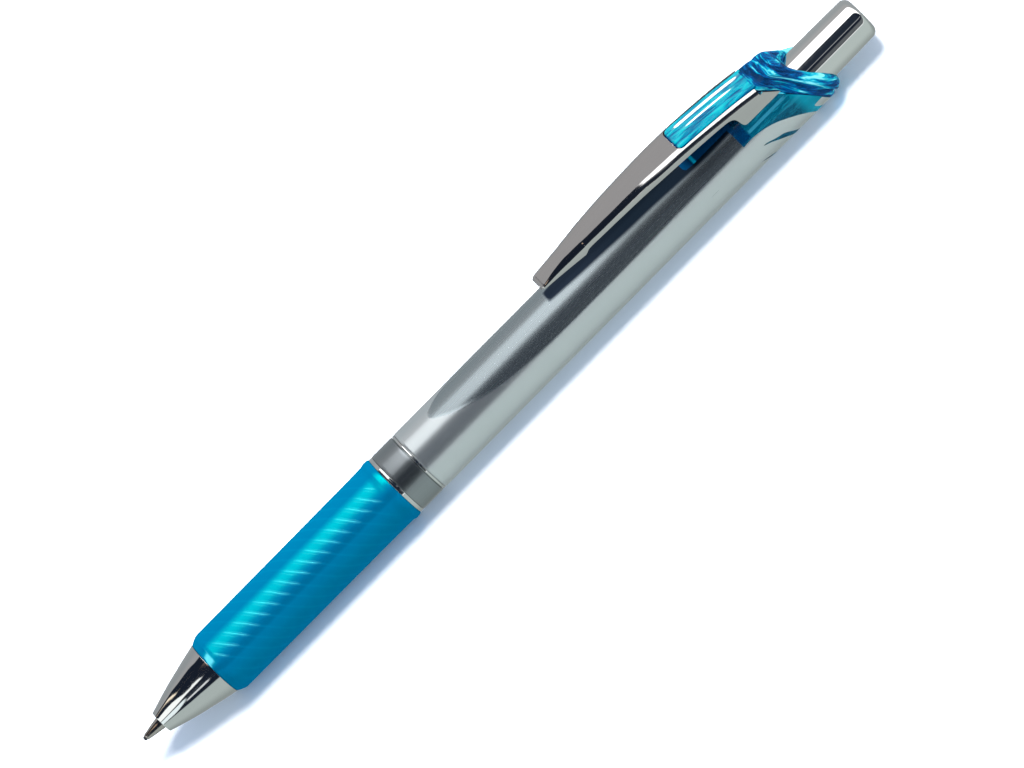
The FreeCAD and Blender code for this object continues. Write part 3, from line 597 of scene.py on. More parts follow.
def bare_plastic(net, place, x, y, z, shaded):
    """The unpainted plastic: clear blue with a cloud whose colour changes along x."""
    tint = (0.22, 0.80, 0.92)
    # painted shade: under the clip the glass's tint is darkened
    glass = net.out("BsdfPrincipled", {
        "Base Color": net.mix(shaded, tint, scaled(tint, 0.10)),
        "Roughness": 0.03,
        "IOR": 1.49,
        "Transmission Weight": 1.0,
        "Normal": net.bump(net.noise(place, scale=0.8), strength=0.05, distance=0.0003),
    })
    # degrees from the clip's plane
    turn = net.math("ARCTAN2", net.math("ABSOLUTE", y), z - AXIS_MM) * TO_DEGREES
    lines = net.noise(net.coords((300.0, 1700.0, 1700.0)), detail=3.0, rough=0.55,
                      distortion=0.4)
    # painted shade and light: the moulding's cloud is darkest behind the paint's edge, where the
    # inside gets little light, and lightest at the rear
    cloud = net.mix(net.smooth(x, 121.35, 121.75), (0.0, 0.022, 0.070), (0.0, 0.066, 0.112))
    cloud = net.mix(net.smooth(x, 128.6, 130.6), cloud, (0.0, 0.225, 0.30))
    streak = net.mix(0.28, cloud, (0.02, 0.30, 0.38))
    cloud = net.mix(net.smooth(lines, 0.46, 0.70), cloud, streak)
    bar = ((net.smooth(turn, 43.2, 44.4) * net.fade(turn, 48.2, 49.4))
           * (net.smooth(x, 121.4, 121.9) * net.fade(x, 128.2, 129.2)))
    cloud = net.mix(bar * 0.85, cloud, (0.025, 0.19, 0.27))
    # painted shade under the clip, crossed by a painted light bar: a bright cyan strip standing in
    # for light coming through
    painted_light_bar = net.smooth(x, 112.95, 113.25) * net.fade(x, 113.45, 113.75)
    cloud = net.mix(shaded, cloud, net.mix(painted_light_bar, (0.0, 0.042, 0.115), (0.0, 0.50, 0.66)))
    cloudy = net.out("BsdfDiffuse", {"Color": cloud})
    return net.blend(0.74 + shaded * 0.25, glass, cloudy)


def barrel_material():
    """Paint and bare plastic, split by signed distances in mm stored on the mesh."""
    net = new_net("silver_paint_over_clear_blue")
    painted = net.math("ADD", net.attribute("paint_mm") * 18.0, 0.5, clamp=True)
    place = net.coords()
    x, y, z = net.xyz(place)
    x = x - TIP_MM
    shade_mm = net.attribute("shade_mm")
    shaded = net.smooth(shade_mm, -0.38, 0.38, after=0.985)
    shadow_ray, through_ray = net.outs("LightPath", {}, ("Is Shadow Ray", "Is Transmission Ray"))
    passing = net.out("BsdfTransparent", {"Color": SHADOW_TINT})
    window = net.blend(shadow_ray, bare_plastic(net, place, x, y, z, shaded), passing)
    # painted glow: seen through clear plastic, the paint gives off a little light as emission
    glow = net.glow((0.60, 0.72, 0.76), strength=0.8)
    paint = net.blend(through_ray * 0.22, silver_paint(net, place, x, shade_mm, shaded), glow)
    volume = net.out("VolumeAbsorption", {"Color": (0.0, 0.80, 0.90), "Density": 650.0})
    return net.finish(net.blend(painted, window, paint), volume)


# ------------------------------------------------------------------ grip rubber
def grip_material():
    """Turquoise rubber with a smooth skin; the core's helical ridges show as thin lines below."""
    net = new_net("turquoise_translucent_rubber")
    x, y, z = net.xyz(net.out("TexCoord", key="Object"))
    x = (x - TIP_X) * 1000.0
    angle = net.math("ARCTAN2", y, z - AXIS_Z)
    place = net.coords()
    fine = net.noise(place, scale=5.0, detail=3.0)
    broad = net.noise(place, scale=0.22)
    uneven = (net.noise(place, scale=0.5) - 0.5) * 0.9
    phase = (angle + x * (2 * math.pi / RIDGE_PITCH)) * RIDGE_STARTS + uneven

    def line(at, sharpness):
        return net.math("POWER", net.math("COSINE", at) * 0.5 + 0.5, sharpness)

    ends = net.smooth(x, 15.6, 17.2) * net.fade(x, 47.6, 49.0)
    ridge = (line(phase, sharpness=9.0) + line(phase + 1.9, sharpness=16.0) * 0.12) * ends
    below = net.bump(ridge, strength=1.0, distance=0.00024)
    skin = net.bump(fine, strength=0.03, distance=0.0002)

    def matt(colour):
        return net.out("BsdfDiffuse", {"Color": colour, "Roughness": 0.3, "Normal": skin})

    # painted reflection: the blue is darkened a little where the mirror direction rises 18 to 62
    # degrees, towards the dark cards
    painted_dark_band = (net.smooth(net.mirror_rise(), 18.0, 32.0)
                * net.smooth(net.mirror_rise(), 40.0, 62.0, before=0.26, after=0.0))
    blue = net.mix(broad, (0.0, 0.215, 0.440), (0.0, 0.238, 0.472))
    body = matt(net.mix(painted_dark_band, blue, (0.0, 0.02, 0.10)))
    body = net.blend(ridge * (0.16 + broad * 0.30), body, matt((0.0, 0.305, 0.545)))
    # painted sheen: the skin's gloss is turned up where its mirror direction faces the light
    # above, and nearly off elsewhere
    rise = net.mirror_rise()
    sheen = (net.smooth(rise, 48.0, 88.0)
             * net.smooth(rise, 100.0, 136.0, before=1.0, after=0.06) + 0.05)
    lit_ridge = net.smooth(rise, 38.0, 66.0) * net.fade(rise, 96.0, 122.0)
    # mask of the painted highlight on the front lip
    front = (net.fade(x, 15.2, 15.6) * net.smooth(rise, 62.0, 82.0)
             * net.fade(rise, 106.0, 122.0))
    wide = net.out("BsdfGlossy", {
        "Color": net.mix(sheen, (0.0, 0.0, 0.0), (0.0, 0.80, 0.56)),
        "Roughness": 0.36, "Normal": skin})
    thin = net.out("BsdfGlossy", {
        "Color": (0.14, 0.92, 0.80), "Roughness": 0.15, "Normal": below})
    black = net.out("BsdfTransparent", {"Color": (0.0, 0.0, 0.0)})
    glint = net.math("MULTIPLY", ridge * lit_ridge, 0.95, clamp=True)
    gloss = net.out("AddShader", {0: wide, 1: net.blend(glint, black, thin)})
    # painted highlight: a pale diffuse patch on the front lip, where it faces the light over the
    # point
    lip = net.out("BsdfDiffuse", {"Color": (0.22, 0.90, 0.86)})
    gloss = net.blend(net.math("MULTIPLY", front, 0.9, clamp=True), gloss, lip)
    return net.finish(net.blend(0.5, body, gloss))


MAT = {
    "chrome": chrome("chrome_plating", (0.66, 0.675, 0.68)),
    "chrome_dark": chrome("chrome_tip", (0.50, 0.47, 0.45), rough=0.09, spread=0.06),
    "chrome_cap": chrome("chrome_cap_plating", (0.76, 0.775, 0.775), rough=0.035, spread=0.02,
                         wave=0.004, even_from=133.0),
    "ring": chrome("chrome_rings", (0.72, 0.735, 0.74), rough=0.07, spread=0.05),
    "collar": satin("collar_lacquered_metal", (0.325, 0.36, 0.385), rough=0.31, grain=0.12,
                    coat=0.4),
    # painted shade: the tab, under the crown's hump, is given a dark metal
    "clip_dark": satin("clip_tab_shaded_metal", (0.16, 0.18, 0.22), rough=0.2, grain=0.1),
    "clip": clip_plating(),
    "core": plastic("core_ribbed_plastic", (0.005, 0.44, 0.60), rough=0.22, vary=0.06,
                    bump=0.01),
    "brass": chrome("turned_brass", (0.80, 0.60, 0.28), rough=0.16, spread=0.1),
    "steel": chrome("spring_wire", (0.55, 0.56, 0.58), rough=0.18, spread=0.1),
    "guide": plastic("white_moulding", (0.72, 0.74, 0.73), rough=0.4, vary=0.05, scatter=0.1),
    "holder": plastic("pale_grey_moulding", (0.36, 0.39, 0.40), rough=0.36, vary=0.05,
                      scatter=0.1),
    "tank": plastic("smoke_tube", (0.05, 0.09, 0.11), rough=0.2, vary=0.15),
    "eraser": plastic("vinyl_eraser", (0.66, 0.66, 0.62), rough=0.6, vary=0.05, scatter=0.15,
                      bump=0.12, scale=9.0),
    "retainer": plastic("soft_black_rubber", (0.02, 0.02, 0.022), rough=0.55, vary=0.2),
    "graphite": plastic("polymer_graphite", (0.035, 0.035, 0.038), rough=0.34, vary=0.25,
                        metallic=0.3, bump=0.1, scale=14.0),
    "crown": clear_blue("crown_clear_blue", (0.50, 0.97, 1.0), absorb=(0.0, 0.86, 0.935),
                        density=1100.0, stops=DEEP, cloud=0.76, flow_of=slanted_flow,
                        flow_bump=0.9),
    "tongue": clear_blue("tongue_clear_turquoise", (0.10, 0.86, 0.95), absorb=(0.0, 0.88, 0.95),
                         density=1900.0, stops=LIGHT, cloud=0.92, flow_of=straight_flow,
                         flow_bump=0.5),
    "barrel": barrel_material(),
    "grip": grip_material(),
}

# ------------------------------------------------------------------ lead, tip and nose cone
# Every lathe outline is closed: (x, radius[, corner radius]) in mm.
LEAD_RADIUS = 0.35
LEAD = [(0.0, 0.0), (60.0, 0.0), (60.0, LEAD_RADIUS, 0.03), (0.16, LEAD_RADIUS, 0.05),
        (0.0, 0.22, 0.04)]
SLEEVE = [(0.4, 0.39), (0.4, 0.46, 0.03), (0.8, 0.54), (1.2, 0.62), (1.7, 0.715), (2.2, 0.80),
          (2.7, 0.885), (3.2, 0.96), (3.6, 1.0, 0.3), (4.6, 1.0), (4.6, 1.5, 0.1),
          (7.5, 1.5, 0.1), (7.5, 1.03), (5.4, 1.03), (5.4, 0.39)]
lathe("lead_rod", LEAD, "graphite", "lead", "graphite", "lead", segments=48)
lathe("tip_sleeve_turned", SLEEVE, "chrome_dark", "tip", "chrome", "tip_sleeve", segments=96)

# The cone's outer curve
CONE_X = [3.5, 5.5, 8.0, 10.5, 12.5, 14.35]
CONE_RADIUS = [1.80, 2.41, 3.12, 3.72, 4.19, 4.57]
cone_rows = np.linspace(3.62, 14.2, 34)
cone = [(3.5, 1.08), (3.5, 1.80, 0.14)]
cone += list(zip(cone_rows, spline(CONE_X, CONE_RADIUS, cone_rows)))
cone += [(14.35, 4.57, 0.06), (14.35, 3.25), (10.8, 3.25), (10.78, 1.85), (10.58, 1.55),
         (4.5, 1.55), (4.5, 1.08)]
lathe("nose_cone_shell", cone, "chrome", "root", "chrome", "nose_cone", segments=224)

# ------------------------------------------------------------------ grip and its ribbed core
CORE_RADIUS, RIDGE_DEPTH = 4.33, 0.34


def ribbed(x, radius, angle):
    """Helical ridges cut into the core's outer face, faded out at both ends."""
    wave = 0.5 + 0.5 * np.cos(RIDGE_STARTS * (angle + 2 * math.pi * x / RIDGE_PITCH))
    fade = np.clip((x - 15.4) / 0.8, 0, 1) * np.clip((48.6 - x) / 0.8, 0, 1)
    return np.where(radius > 4.2, radius - RIDGE_DEPTH * fade * (1 - wave ** 0.7), radius)


core_rows = np.concatenate([[14.42, 14.6], np.arange(15.0, 49.2, 0.16), [49.6, 52.0, 55.7]])
core = [(10.83, 1.85), (10.83, 3.1), (11.0, 3.23), (14.4, 3.23), (14.4, 4.30)]
core += [(x, CORE_RADIUS) for x in core_rows]
core += [(55.85, CORE_RADIUS), (55.85, 4.26), (62.0, 4.26), (62.0, 2.4), (14.15, 2.4),
         (14.15, 1.85)]
lathe("grip_core_ribbed", core, "core", "root", "core_plastic", "grip_core", segments=360,
      radius_of=ribbed, sharp=40)

GRIP_X = [16.0, 24.0, 36.0, 44.0, 47.5, 49.2]
GRIP_RADIUS = [5.15, 5.17, 5.19, 5.21, 5.23, 5.26]
grip_rows = np.linspace(16.4, 49.2, 60)
grip = [(14.4, 4.37), (14.4, 4.56, 0.10), (14.62, 4.70, 0.15), (15.45, 5.08, 0.35),
        (16.0, 5.15, 0.4)]
grip += list(zip(grip_rows, pchip(GRIP_X, GRIP_RADIUS, grip_rows)))
grip += [(49.45, 5.33, 0.1), (49.85, 5.42, 0.3), (50.4, 5.39, 0.2), (50.72, 5.27, 0.1),
         (50.72, 4.37)]
lathe("grip_rubber", grip, "grip", "root", "grip_rubber", "grip_sleeve", segments=256)

# ------------------------------------------------------------------ rings and collar
FRONT_RING = [(50.75, BAND_BORE), (50.75, 5.20, 0.09), (51.38, 5.20, 0.09), (51.38, BAND_BORE)]
COLLAR = [(51.4, BAND_BORE), (51.4, 5.21, 0.08), (51.9, BODY_RADIUS), (54.8, BODY_RADIUS),
          (55.3, 5.21, 0.08), (55.3, BAND_BORE)]
JOINT_RING = [(55.32, BAND_BORE), (55.32, 4.98), (55.42, 5.02), (55.46, 5.20, 0.07),
              (55.82, 5.20, 0.07), (55.82, BAND_BORE)]
for name, outline, material, slot, replaces in (
        ("front_ring_plated", FRONT_RING, "ring", "chrome", "front_ring"),
        ("band_collar_lacquered", COLLAR, "collar", "collar_metal", "band_collar"),
        ("joint_ring_plated", JOINT_RING, "ring", "chrome", "joint_ring")):
    lathe(name, outline, material, "root", slot, replaces, segments=192)

# ------------------------------------------------------------------ the slanted seam
SEAM_X, SEAM_Z, SEAM_RADIUS = 121.951, -5.6456, 11.8  # the seam is an arc seen from the side
SEAM_TOP = 5.15  # above this height the seam stands straight


def seam(height):
    """Where the barrel meets the crown, from the height above the axis."""
    drop = np.minimum(height, SEAM_TOP) - SEAM_Z
    bowed = SEAM_X + np.sqrt(np.maximum(SEAM_RADIUS ** 2 - drop ** 2, 0.01))
    return np.where(height > SEAM_TOP, 126.6, bowed)


# ------------------------------------------------------------------ rear barrel
# Outlines on the unrolled barrel: (x in mm, degrees from the clip's plane)
WAVE = curve([
    (119.7, 57.4), (121.5, 56.6), (123.0, 58.8), (124.0, 61.2), (125.0, 64.7), (126.0, 69.6),
    (127.2, 77.4), (128.5, 87.7), (129.8, 102.8), (130.6, 121.6), (131.1, 145.0),
    (131.3, 170.0), (131.4, 190.0)])
PATCH = curve([
    (132.6, 190.0), (132.5, 160.0), (132.0, 126.0), (131.2, 106.0), (131.0, 98.6),
    (131.4, 97.4), (132.6, 96.6), (137.0, 96.0)])
WINDOW = [(119.7, -20.0)] + WAVE + PATCH + [(137.0, -20.0)]
UNDER_CLIP = [(111.4, -20.0), (111.4, 12.0), (111.7, 17.5), (112.6, 19.0), (121.0, 19.0),
              (121.0, -20.0)]
REAR_SLIT = curve([
    (121.7, 80.0), (122.5, 80.8), (124.0, 88.0), (125.2, 93.0), (126.1, 102.8),
    (127.0, 119.0), (127.8, 140.0), (128.2, 160.0)]) + curve([
        (128.2, 160.0), (127.4, 142.0), (126.3, 126.0), (125.7, 114.3), (124.9, 103.2),
        (124.0, 95.0), (123.0, 86.6), (121.7, 80.0)])
FRONT_SLIT = curve([
    (119.7, 103.4), (121.0, 110.0), (122.4, 121.0), (123.4, 138.0), (123.9, 156.0)]) + curve([
        (123.9, 156.0), (123.0, 138.0), (121.9, 122.0), (120.8, 111.4), (119.7, 103.4)])
# The long panel's edge and the painted shade below the clip: x against half width in degrees
PANEL_X = [61.2, 61.5, 62.4, 64.0, 66.0, 70.2, 74.4, 80.0, 86.0, 94.0, 106.0, 120.0]
PANEL_HALF = [0.0, 6.5, 14.7, 25.0, 32.5, 45.0, 51.5, 56.0, 57.8, 57.8, 56.2, 55.0]
PANEL_START, PANEL_DEPTH = 61.2, 0.034
SHADE_X = [84.9, 86.0, 88.0, 91.0, 95.0, 100.0, 104.0, 110.0, 116.0, 119.7]
SHADE_HALF = [9.5, 11.0, 12.6, 15.0, 17.2, 20.2, 21.6, 25.4, 28.5, 27.5]
BARREL_SEGMENTS = 320


def signed(x, across, outline):
    """Signed distance in mm to a closed outline on the unrolled barrel: positive inside."""
    corners = np.array(outline, float) * (1.0, ARC_PER_DEGREE)
    distance = np.full(x.shape, 1e9)
    inside = np.zeros(x.shape, bool)
    for (x_from, from_), (x_to, to_) in zip(corners, np.roll(corners, -1, 0)):
        run, climb = x_to - x_from, to_ - from_
        share = ((x - x_from) * run + (across - from_) * climb) / max(run ** 2 + climb ** 2, 1e-12)
        share = np.clip(share, 0, 1)
        gap = np.hypot(x - x_from - share * run, across - from_ - share * climb)
        distance = np.minimum(distance, gap)
        if from_ != to_:
            crossing = x < run * (across - from_) / climb + x_from
            inside ^= ((from_ > across) != (to_ > across)) & crossing
    return np.where(inside, distance, -distance)


def panel_distance(x, side):
    """Distance in mm inside the panel's edge."""
    half = pchip(PANEL_X, PANEL_HALF, np.clip(x, PANEL_START, 119.9))
    half = np.where(x < PANEL_START, -40.0, half)
    stations = np.linspace(PANEL_START, 119.9, 400)
    tilt = np.gradient(pchip(PANEL_X, PANEL_HALF, stations), 58.7 / 399) * ARC_PER_DEGREE
    slope = np.interp(x, stations, np.clip(tilt, 0, 6))
    return (half - side) * ARC_PER_DEGREE / np.sqrt(1 + slope ** 2)


def barrel_shell():
    degrees = np.linspace(-180, 180, BARREL_SEGMENTS, endpoint=False)
    side, angle = np.abs(degrees), np.radians(degrees)
    end = seam(BODY_RADIUS * np.cos(angle)) - 0.03
    straight = np.concatenate([
        [55.95], np.arange(56.25, 61.0, 0.5), np.arange(61.0, 76.0, 0.2),
        np.arange(76.0, 110.5, 0.6), np.arange(110.5, 118.6, 0.2)])
    x = np.vstack([np.repeat(straight[:, None], BARREL_SEGMENTS, 1),
                   118.6 + (end - 0.08 - 118.6) * np.linspace(0, 1, 70)[:, None]])

    edge = panel_distance(x, side)
    sink = np.clip(edge / 0.5 + 0.1, 0, 1) * np.clip((121.0 - x) / 1.2, 0, 1)
    radius = BODY_RADIUS - PANEL_DEPTH * sink * sink * (3 - 2 * sink)

    # front lip, skin, rear lip and bore close the tube
    lower = seam(4.3 * np.cos(angle)) - 0.03
    lip = [(55.85, 4.3), (55.85, 5.08), (55.87, 5.16), (55.90, 5.20)]
    rear = [(end - 0.03, 5.205), (end, 5.17), (end, 4.75), (lower, 4.32)]
    rear += [(55.9 + (lower - 0.03 - 55.9) * (1 - share), 4.3)
             for share in (0.0, 0.02, 0.2, 0.4, 0.6, 0.8, 0.98)]
    grid = np.concatenate([
        [around(*each, angle) for each in lip], around(x, radius, angle),
        [around(*each, angle) for each in rear]])
    obj = make("rear_barrel_shell", grid, quads(len(grid), BARREL_SEGMENTS, True), "barrel",
               "root", "silver_barrel", "rear_barrel", sharp=50, tidy=False)

    blue = signed(x, side * ARC_PER_DEGREE, WINDOW)
    for outline in (UNDER_CLIP, REAR_SLIT, FRONT_SLIT):
        blue = np.maximum(blue, signed(x, side * ARC_PER_DEGREE, outline))
    panel = np.minimum(edge, 119.75 - x)
    panel = np.where(x < PANEL_START, np.minimum(panel, x - PANEL_START), panel)
    # painted shade below the clip: its half width in degrees, 7 more on the +y side
    under = pchip(SHADE_X, SHADE_HALF, np.clip(x, 84.9, 119.7)) + np.where(degrees > 0, 7.0, 0.0)
    shadow = np.minimum((under - side) * ARC_PER_DEGREE,
                        np.minimum((x - 84.9) * 1.5, 120.5 - x))
    skin = slice(len(lip), len(lip) + len(x))
    for name, values in (("paint_mm", -blue), ("panel_mm", panel), ("shade_mm", shadow)):
        field = np.full(grid.shape[:2], -1.0)
        field[skin] = values
        if name == "paint_mm":  # the front lip is painted; rear rim and bore are bare
            field[:skin.start] = 1.0
            field[skin.stop] = values[-1]
        store(obj, name, field)


barrel_shell()

# ------------------------------------------------------------------ crown
CROWN_BORE = 3.65
CROWN_SEGMENTS = 300
# Rear rim, from the side: height above the axis against x
RIM_Z = [-5.6, -3.6, -1.4, 0.4, 1.63, 2.31, 2.87, 3.33, 3.6, 5.3, 8.2]
RIM_X = [136.45, 136.35, 136.05, 135.3, 134.5, 133.8, 133.3, 132.7, 132.2, 131.4, 130.6]
# Hump behind the clip: x against height, before rounding, and its half width
HUMP_X = [126.0, 126.6, 128.0, 129.0, 130.0, 131.0, 133.0]
HUMP_TOP = [8.12, 8.08, 7.90, 7.72, 7.58, 7.5, 7.4]
HUMP_HALF = 2.88
# Arch from the hump to the rim: x against height
ARCH_X = [126.4, 127.8, 128.8, 129.8, 130.3, 131.2, 131.8, 132.6, 133.5, 134.2, 134.8]
ARCH_TOP = [7.1, 6.97, 6.8, 6.62, 6.55, 6.19, 5.75, 5.14, 4.40, 3.72, 3.3]


def crown_base(angle, x):
    """Outer radius of the uncut crown: the round body joined to the hump behind the clip."""
    top = pchip(HUMP_X, HUMP_TOP, x)
    up, across = np.cos(angle), np.abs(np.sin(angle))
    box = ((np.maximum(up, 0.05) / top) ** 7 + (across / HUMP_HALF) ** 7) ** (-1 / 7)
    return (5.205 ** 14 + np.where(up > 0.05, box, 0.1) ** 14) ** (1 / 14)


def crown_ring(share, angle):
    """A ring of the crown's outside, ``share`` of the way from the seam to the rear rim."""
    degrees, up = np.degrees(angle), np.cos(angle)
    across = np.abs(degrees)
    low = across / 180.0  # 0 at the clip, 1 underneath
    # the rim dips forward on the +y side
    rear = pchip(RIM_Z, RIM_X, 3.72 * up) - 0.62 * np.exp(-((degrees - 64.0) / 20.0) ** 2)
    side_on = np.exp(-((across - 58.0) / 24.0) ** 2)
    fall = ((1 - share ** (9.2 - 3.4 * low - 5.4 * side_on))
            ** (0.60 + 0.14 * np.clip(low * 3, 0, 1) - 0.16 * low))
    floor_radius = 3.74 + 0.35 * low
    # a groove round the middle, deeper underneath, and a slimmer rear half below
    cut = ((0.10 + 0.52 * low ** 1.6) * np.exp(-((share - 0.44) / 0.085) ** 2)
           + 0.4 * low * np.clip((share - 0.5) / 0.3, 0, 1))
    radius = np.full(len(angle), 5.2)
    for _ in range(8):  # x and radius depend on each other, so they are settled together
        front = seam(radius * up)
        x = front + (rear - front) * share
        wanted = floor_radius + (crown_base(angle, x) - cut - floor_radius) * fall
        # the hump runs down to the rim in one even arch
        arch = pchip(ARCH_X, ARCH_TOP, x) / np.cos(np.radians(across - 49.0))
        ridge_at = 22.0 + np.clip((x - 131.0) / 3.0, 0, 1) * 38.0
        lift = (np.exp(-((across - ridge_at) / 17.0) ** 2) * np.clip(x - 130.0, 0, 1)
                * np.where(angle > 0, 1.0, 0.55) * (1 - share ** 24))
        wanted = wanted + lift * np.maximum(arch - wanted, -0.3)
        wanted = wanted - 0.05 * max(0.0, 1 - share / 0.02)  # eased edge at the seam
        radius = 0.5 * radius + 0.5 * wanted
    return around(x, radius, angle)


def crown_shell():
    spread = np.linspace(-1, 1, CROWN_SEGMENTS, endpoint=False)
    angle = math.pi * (0.55 * spread + 0.45 * spread ** 3)  # closer together near the clip
    shares = np.concatenate([[0.0, 0.012, 0.03], np.linspace(0.06, 0.9, 34),
                             [0.93, 0.955, 0.975, 0.99, 1.0]])
    rows = [crown_ring(share, angle) for share in shares]
    first, last = rows[0], rows[-1]
    first_radius = np.hypot(first[:, 1], first[:, 2])
    rim_x, rim_radius = last[:, 0], np.hypot(last[:, 1], last[:, 2])
    # over the rim, forward along the bore, then back along the spigot to the seam
    inner_front = seam(4.26 * np.cos(angle))
    inside = [(rim_x + 0.02, np.maximum(rim_radius - 0.06, CROWN_BORE + 0.02)),
              (rim_x, CROWN_BORE)]
    inside += [(rim_x + (121.5 - rim_x) * share, CROWN_BORE)
               for share in (0.02, 0.25, 0.5, 0.75, 0.98)]
    inside += [(121.4, CROWN_BORE + 0.04), (121.4, 4.22), (121.45, 4.26), (121.6, 4.26),
               (0.5 * (121.6 + inner_front), 4.26), (inner_front - 0.02, 4.26)]
    for share in (0.33, 0.66, 0.92):
        radius = 4.26 + (first_radius - 4.26) * share
        inside.append((seam(radius * np.cos(angle)), radius))
    rows += [around(*each, angle) for each in inside]
    make("crown_moulding", np.array(rows), quads(len(rows), CROWN_SEGMENTS, True), "crown",
         "root", "clear_blue", "crown", sharp=38)


crown_shell()

# ------------------------------------------------------------------ clip
# x against the top's height and the half width
CLIP_X = [85.4, 86.0, 88.0, 92.0, 96.0, 100.0, 104.0, 108.0, 112.0, 116.0, 120.0, 124.0, 126.5]
CLIP_TOP = [8.80, 8.95, 9.33, 9.74, 9.97, 10.12, 10.19, 10.17, 10.0, 9.60, 9.06, 8.40, 7.85]
CLIP_HALF = [1.50, 1.58, 1.72, 2.04, 2.32, 2.56, 2.72, 2.84, 2.94, 3.04, 3.12, 3.16, 3.17]
# x against the height of the side walls' lower edge
LOW_X = [85.4, 86.0, 88.0, 90.0, 92.0, 93.0, 93.25, 93.6, 94.2, 94.8, 97.0, 100.0, 104.0, 108.0,
         112.0, 116.0, 119.6, 120.6, 121.2, 121.5, 121.7, 121.8, 121.9, 122.1, 122.4, 123.0, 126.5]
LOW_Z = [8.62, 8.52, 8.36, 8.24, 8.12, 8.04, 8.02, 8.16, 8.52, 8.62, 8.68, 8.75, 8.72, 8.52,
         8.26, 7.98, 7.62, 7.45, 7.15, 6.80, 6.20, 5.40, 4.90, 4.50, 4.32, 4.28, 4.28]
CLIP_FRONT, CLIP_REAR = CLIP_X[0], CLIP_X[-1]
SOLID_END = 85.98  # the sheet is closed in front of this x
WALL, TOP_ROUND = 0.55, 1.04
FRONT_ROUND = 0.62
BARREL_CLEAR = 5.29  # the clip keeps outside this radius


def clip_top(x):
    return float(spline(CLIP_X, CLIP_TOP, x))


def clip_section(x, solid):
    """One closed outline of the channel, always the same number of points."""
    top = clip_top(x)
    half = float(spline(CLIP_X, CLIP_HALF, x))
    low = float(pchip(LOW_X, LOW_Z, x))
    nose = max(0.0, FRONT_ROUND - (x - CLIP_FRONT))
    if nose > 0:  # the front end is rounded in plan and in height
        pull = 1 - math.sqrt(max(0.0, 1 - (nose / FRONT_ROUND) ** 2))
        half -= 0.42 * pull
        top -= 0.40 * pull
        low += 0.16 * pull
    radius = min(TOP_ROUND, (top - low) * 0.72)
    inner_half = half - WALL
    low_out, low_in = (max(low, math.sqrt(max(0.0, BARREL_CLEAR ** 2 - y * y)))
                       for y in (half, inner_half))
    height = top - radius - low_out
    right = [(half, low_out + min(0.07, height * 0.25)), (half, low_out + height * 0.6)]
    right += arc(half - radius, top - radius, radius, 0, HALF_PI, 11)
    flat = [(y, top) for y in np.linspace(half - radius, -(half - radius), 9)[1:-1]]
    left = [(-y, z) for y, z in reversed(right)]
    inner_top = low_in + 0.03 if solid else max(top - WALL, low_in + 0.16)
    bend = min(0.35, (inner_top - low_in) * 0.45)
    inner = [(-inner_half, low_in)]
    inner += arc(-inner_half + bend, inner_top - bend, bend, math.pi, HALF_PI, 4)
    inner += arc(inner_half - bend, inner_top - bend, bend, HALF_PI, 0, 4)
    inner += [(inner_half, low_in)]
    return right + flat + left + [(-half + 0.08, low_out)] + inner + [(half - 0.08, low_out)]


def clip_body():
    stations = sorted(set(np.round(np.concatenate([
        [CLIP_FRONT, 85.41, 85.44, 85.5, 85.58, 85.7, 85.85, SOLID_END],
        np.arange(86.0, 93.0, 0.25), np.arange(93.0, 95.0, 0.08), np.arange(95.0, 119.6, 0.3),
        np.arange(119.6, 121.4, 0.08), np.arange(121.4, 122.5, 0.03),
        np.arange(122.5, CLIP_REAR, 0.25), [CLIP_REAR]]), 4)))
    sections = []
    for x in stations:
        sections.append([(x, y, z) for y, z in clip_section(x, solid=x <= SOLID_END)])
        if x == SOLID_END:  # the step from solid to hollow
            sections.append([(x + 0.004, y, z) for y, z in clip_section(x, solid=False)])
    return make("clip_channel", np.array(sections), tube_faces(len(sections), len(sections[0])),
                "clip", "clip", "clip_chrome", "clip", sharp=34)


def cut_window(obj):
    """The window in the clip's top face, with round front corners."""
    front, rear, half, radius = 112.88, 129.0, 2.43, 0.95
    plan = [(rear, half), (rear, -half)]
    plan += arc(front + radius, -half + radius, radius, -HALF_PI, -math.pi, 10)
    plan += arc(front + radius, half - radius, radius, math.pi, HALF_PI, 10)
    mesh = new_mesh("window_tool", *plate(plan, 6.4, 12.0, axis=2))
    tool = link("window_tool", mesh)
    work = bmesh.new()
    work.from_mesh(mesh)
    bmesh.ops.recalc_face_normals(work, faces=work.faces)
    work.to_mesh(mesh)
    work.free()
    cutter = obj.modifiers.new("window", "BOOLEAN")
    cutter.operation, cutter.object, cutter.solver = "DIFFERENCE", tool, "EXACT"
    bake(obj, sharp=34)
    bpy.data.objects.remove(tool)
    bpy.data.meshes.remove(mesh)


cut_window(clip_body())

# Side outlines behind the channel: (x, z)
HEEL = [(126.49, 5.12), (126.9, 4.93), (127.25, 4.74), (127.7, 4.50), (128.08, 4.30),
        (126.49, 4.30)]
CHEEK = [(126.49, 6.80), (127.08, 6.80), (127.2, 6.65), (127.7, 5.98), (128.2, 5.32),
         (128.7, 4.66), (129.0, 4.26), (126.49, 4.26)]
# name, outline, inner and outer y, radius it keeps outside
for name, outline, inner, outer, clear in (("clip_heel_", HEEL, 2.66, 3.17, BARREL_CLEAR),
                                           ("clip_cheek_", CHEEK, 2.91, 3.165, 5.27)):
    for sign, label in ((-1, "near"), (1, "far")):
        verts, faces = plate(outline, sign * inner, sign * outer)
        verts[:, 2] = np.maximum(verts[:, 2], np.sqrt(clear ** 2 - verts[:, 1] ** 2))
        make(name + label, verts, faces, "clip", "clip", "clip_chrome", sharp=30)

